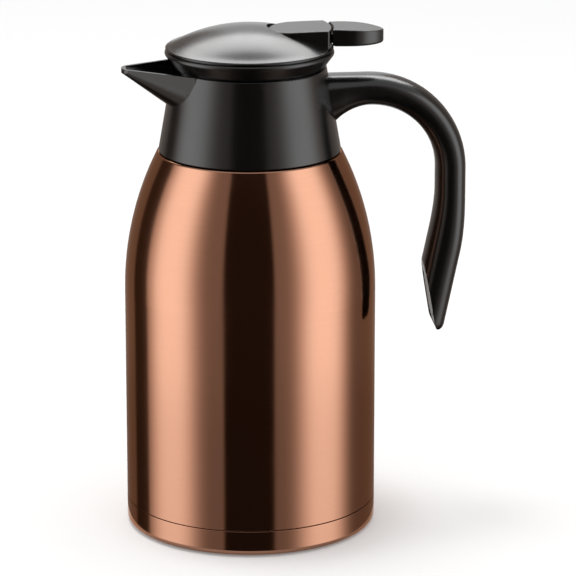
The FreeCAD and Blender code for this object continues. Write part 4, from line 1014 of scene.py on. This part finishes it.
@dataclass
class Studio:
    """Camera, light tent, lamps, floor and white surroundings."""

    lens: float = 225.0  # focal length, in millimetres
    sensor: float = 36.0  # width of the camera's sensor, in millimetres
    distance: float = 1.899  # camera from its target
    azimuth: float = -5.5  # degrees that the camera stands to the right of the front
    pitch: float = 16.0  # degrees that the camera looks down
    sight: float = 24.0  # how far the camera sees
    target_height: float = 0.127  # height of the target on the jug's axis
    target_shift: float = 0.01995  # target to the camera's right of that axis
    tent_radius: float = 2.6
    tent_low: float = -2.4  # lower edge of the tent, below the floor, which shines through to reflections
    tent_high: float = 2.6
    tent_fill: float = 0.33  # brightness of the plain tent
    tent_base: float = 0.25  # brightness of the tent's dark base, which closes it below the floor
    tent_base_from: float = -1.6  # height below which the tent is as dark as its base
    tent_base_to: float = -0.9  # height above which it isn't darkened
    tent_dim: float = 0.80  # brightness left at the height that the jug's foot mirrors
    tent_dim_from: float = -0.755  # height where the tent is dimmest
    tent_dim_to: float = -0.68  # height from which it has its whole brightness
    deep: Colour = (1.0, 0.66, 0.46)  # colour of the tent's darkest places
    warm: Colour = (1.0, 0.85, 0.76)  # colour of the plain tent
    cool: Colour = (1.0, 1.0, 1.0)  # colour of the tent's bright panels
    cool_level: float = 2.6  # brightness from which the light is as cool as that
    tent_opening: float = 8.0  # degrees left open behind the jug, on each side
    tent_steps: int = 96
    softboxes: tuple[Softbox, ...] = (  # the tent's bright panels
        Softbox(azimuth=-77.0, half_width=22.7, radiance=2.7),
        Softbox(azimuth=71.5, half_width=22.5, radiance=2.7),
        Softbox(azimuth=0.0, half_width=50.0, radiance=0.20, falloff=2.0),
    )
    cards: tuple[Card, ...] = (  # the tent's dark panels
        Card(azimuth=-0.5, half_width=23.0, edge=1.5, shine=0.075),
        Card(azimuth=-119.3, half_width=11.8, edge=2.0, shine=0.22),
    )
    lamps: tuple[Lamp, ...] = (  # the lamps besides the tent
        Lamp("back_softbox", azimuth=178.0, elevation=50.0, distance=1.4, size=(1.35, 0.6), watts=14.5,
             mirrored=True, shading=False),
        Lamp("key_lamp", azimuth=-104.0, elevation=80.0, distance=1.9, size=(0.6, 0.6), watts=13.0,
             mirrored=False, shading=True),
    )
    floor_half: float = 6.0
    floor_colour: Colour = (0.80, 0.80, 0.80)
    floor_lift: float = 0.15  # light that the camera sees on the floor besides the lamps' light
    floor_mirrored: float = 0.0725  # up to this distance from its axis the jug mirrors the floor
    ambience: float = 0.88  # brightness of the surroundings as a light on matt surfaces

    def direction(self, azimuth: float, elevation: float) -> Vector:
        """A direction from the jug.

        Args:
            azimuth: Degrees to the camera's right.
            elevation: Degrees above the horizon.

        Returns:
            The unit vector.
        """
        turn = math.radians(self.azimuth + azimuth)
        rise = math.radians(elevation)
        return Vector((math.sin(turn) * math.cos(rise), -math.cos(turn) * math.cos(rise), math.sin(rise)))

    def camera(self) -> None:
        """Set the camera at the photograph's angle."""
        data = bpy.data.cameras.new("camera")
        data.sensor_width = self.sensor
        data.lens = self.lens
        data.clip_end = self.sight
        made = bpy.data.objects.new("camera", data)
        toward = self.direction(0.0, self.pitch)
        right = self.direction(90.0, 0.0)
        target = Vector((0.0, 0.0, self.target_height)) + self.target_shift * right
        made.location = target + self.distance * toward
        made.rotation_euler = toward.to_track_quat("Z", "Y").to_euler()
        bpy.context.scene.collection.objects.link(made)
        bpy.context.scene.camera = made

    def world(self) -> None:
        """White surroundings for the camera and for reflections, and a softer light on matt surfaces."""
        made = bpy.data.worlds.new("surroundings")
        wiring = fresh_wiring(made)
        seen = wiring.seen(wiring.add("ShaderNodeLightPath"))
        strength = wiring.fitted(seen, self.ambience, 1.0)
        shine = wiring.add("ShaderNodeBackground", {"Color": (1.0, 1.0, 1.0), "Strength": strength})
        wiring.show(shine, "ShaderNodeOutputWorld")
        bpy.context.scene.world = made

    def tent_level(self, wiring: Wiring) -> Socket:
        """The tent's brightness around the jug: soft panels over a plain fill, behind dark cards.

        Args:
            wiring: The tent material's wiring.

        Returns:
            The output with the brightness.
        """
        across, along, height = wiring.add("ShaderNodeSeparateXYZ", {0: wiring.place()}).outputs
        turn = wiring.math("ARCTAN2", across, wiring.math("MULTIPLY", along, -1.0))
        around = wiring.math("SUBTRACT", wiring.math("DEGREES", turn), self.azimuth)
        level: Value = self.tent_fill
        for box in self.softboxes:
            off = wiring.math("DIVIDE", wiring.math("SUBTRACT", around, box.azimuth), box.half_width)
            fade = wiring.math("POWER", wiring.math("ABSOLUTE", off), box.falloff)
            bell = wiring.math("EXPONENT", wiring.math("MULTIPLY", fade, -math.log(2.0)))
            level = wiring.math("MULTIPLY_ADD", bell, box.radiance, level)
        for card in self.cards:
            off = wiring.math("ABSOLUTE", wiring.math("SUBTRACT", around, card.azimuth))
            clear = wiring.fitted(off, card.shine, 1.0, card.half_width - card.edge,
                                  card.half_width + card.edge)
            level = wiring.math("MULTIPLY", level, clear)
        dim = wiring.fitted(height, self.tent_dim, 1.0, self.tent_dim_from, self.tent_dim_to)
        base = wiring.fitted(height, self.tent_base, 1.0, self.tent_base_from, self.tent_base_to)
        return wiring.math("MULTIPLY", level, wiring.math("MULTIPLY", dim, base))

    def tent(self) -> None:
        """Hang the light tent around the jug, open behind it. Only reflections see it."""
        shape = bmesh.new()
        reach = 180.0 - self.tent_opening
        columns = []
        for step in range(self.tent_steps + 1):
            way = self.direction(reach * (2 * step / self.tent_steps - 1), 0.0) * self.tent_radius
            columns.append([shape.verts.new((way.x, way.y, height))
                            for height in (self.tent_low, self.tent_high)])
        for left, right in zip(columns, columns[1:]):
            shape.faces.new((left[0], right[0], right[1], left[1]))
        shape.faces.new([low for low, _ in columns])
        made = mesh_object("light_tent", shape)
        made.visible_camera = False
        made.visible_diffuse = False
        made.visible_shadow = False
        material = bpy.data.materials.new("tent_light")
        wiring = fresh_wiring(material)
        level = self.tent_level(wiring)
        warmth = wiring.fitted(level, 0.0, 1.0, 0.0, self.tent_fill)
        coolness = wiring.fitted(level, 0.0, 1.0, self.tent_fill, self.cool_level)
        colour = wiring.mixed(coolness, wiring.mixed(warmth, self.deep, self.warm), self.cool)
        wiring.show(wiring.add("ShaderNodeEmission", {"Color": colour, "Strength": level}))
        made.data.materials.append(material)

    def hang(self, lamp: Lamp) -> None:
        """Hang a lamp.

        Args:
            lamp: Its place, size and power.
        """
        data = bpy.data.lights.new(lamp.name, "AREA")
        data.shape = "RECTANGLE"
        data.size, data.size_y = lamp.size
        data.energy = lamp.watts
        made = bpy.data.objects.new(lamp.name, data)
        way = self.direction(lamp.azimuth, lamp.elevation)
        made.location = Vector((0.0, 0.0, self.target_height)) + lamp.distance * way
        made.rotation_euler = way.to_track_quat("Z", "Y").to_euler()
        made.visible_camera = False
        made.visible_glossy = lamp.mirrored
        made.visible_diffuse = lamp.shading
        bpy.context.scene.collection.objects.link(made)

    def floor(self) -> None:
        """Lay a white floor that keeps the jug's shadow, and that only the jug's foot mirrors."""
        shape = bmesh.new()
        bmesh.ops.create_grid(shape, x_segments=1, y_segments=1, size=self.floor_half)
        made = mesh_object("floor", shape)
        material = bpy.data.materials.new("white_floor")
        wiring = fresh_wiring(material)
        path = wiring.add("ShaderNodeLightPath")
        lift = wiring.math("MULTIPLY", wiring.seen(path), self.floor_lift)
        paint = wiring.add("ShaderNodeBsdfDiffuse", {"Color": self.floor_colour})
        shine = wiring.add("ShaderNodeEmission", {"Strength": lift})
        both = wiring.add("ShaderNodeAddShader", {0: paint.outputs[0], 1: shine.outputs[0]})
        point = wiring.add("ShaderNodeNewGeometry").outputs["Position"]
        away = wiring.add("ShaderNodeVectorMath", {0: point}, operation="LENGTH").outputs["Value"]
        distant = wiring.math("GREATER_THAN", away, self.floor_mirrored)
        hidden = wiring.add("ShaderNodeMixShader", {
            0: wiring.math("MULTIPLY", path.outputs["Is Glossy Ray"], distant), 1: both.outputs[0],
            2: wiring.add("ShaderNodeBsdfTransparent").outputs[0]})
        wiring.show(hidden)
        made.data.materials.append(material)

    def build(self) -> None:
        """Set up the whole studio."""
        bpy.context.scene.view_settings.view_transform = "Standard"
        self.camera()
        self.world()
        self.tent()
        self.floor()
        for lamp in self.lamps:
            self.hang(lamp)


def main() -> None:
    """Build and dress the carafe and set up the studio."""
    logging.basicConfig(level=logging.INFO, format="%(message)s")
    wardrobe = Wardrobe()
    for assembly in (SteelJug(), CollarAndSpout(), HookHandle(), PouringLid(), ValveGear()):
        LOG.info("sub-assembly %s", type(assembly).__name__)
        assembly.dress(wardrobe)
    Studio().build()


if __name__ == "__main__":
    main()
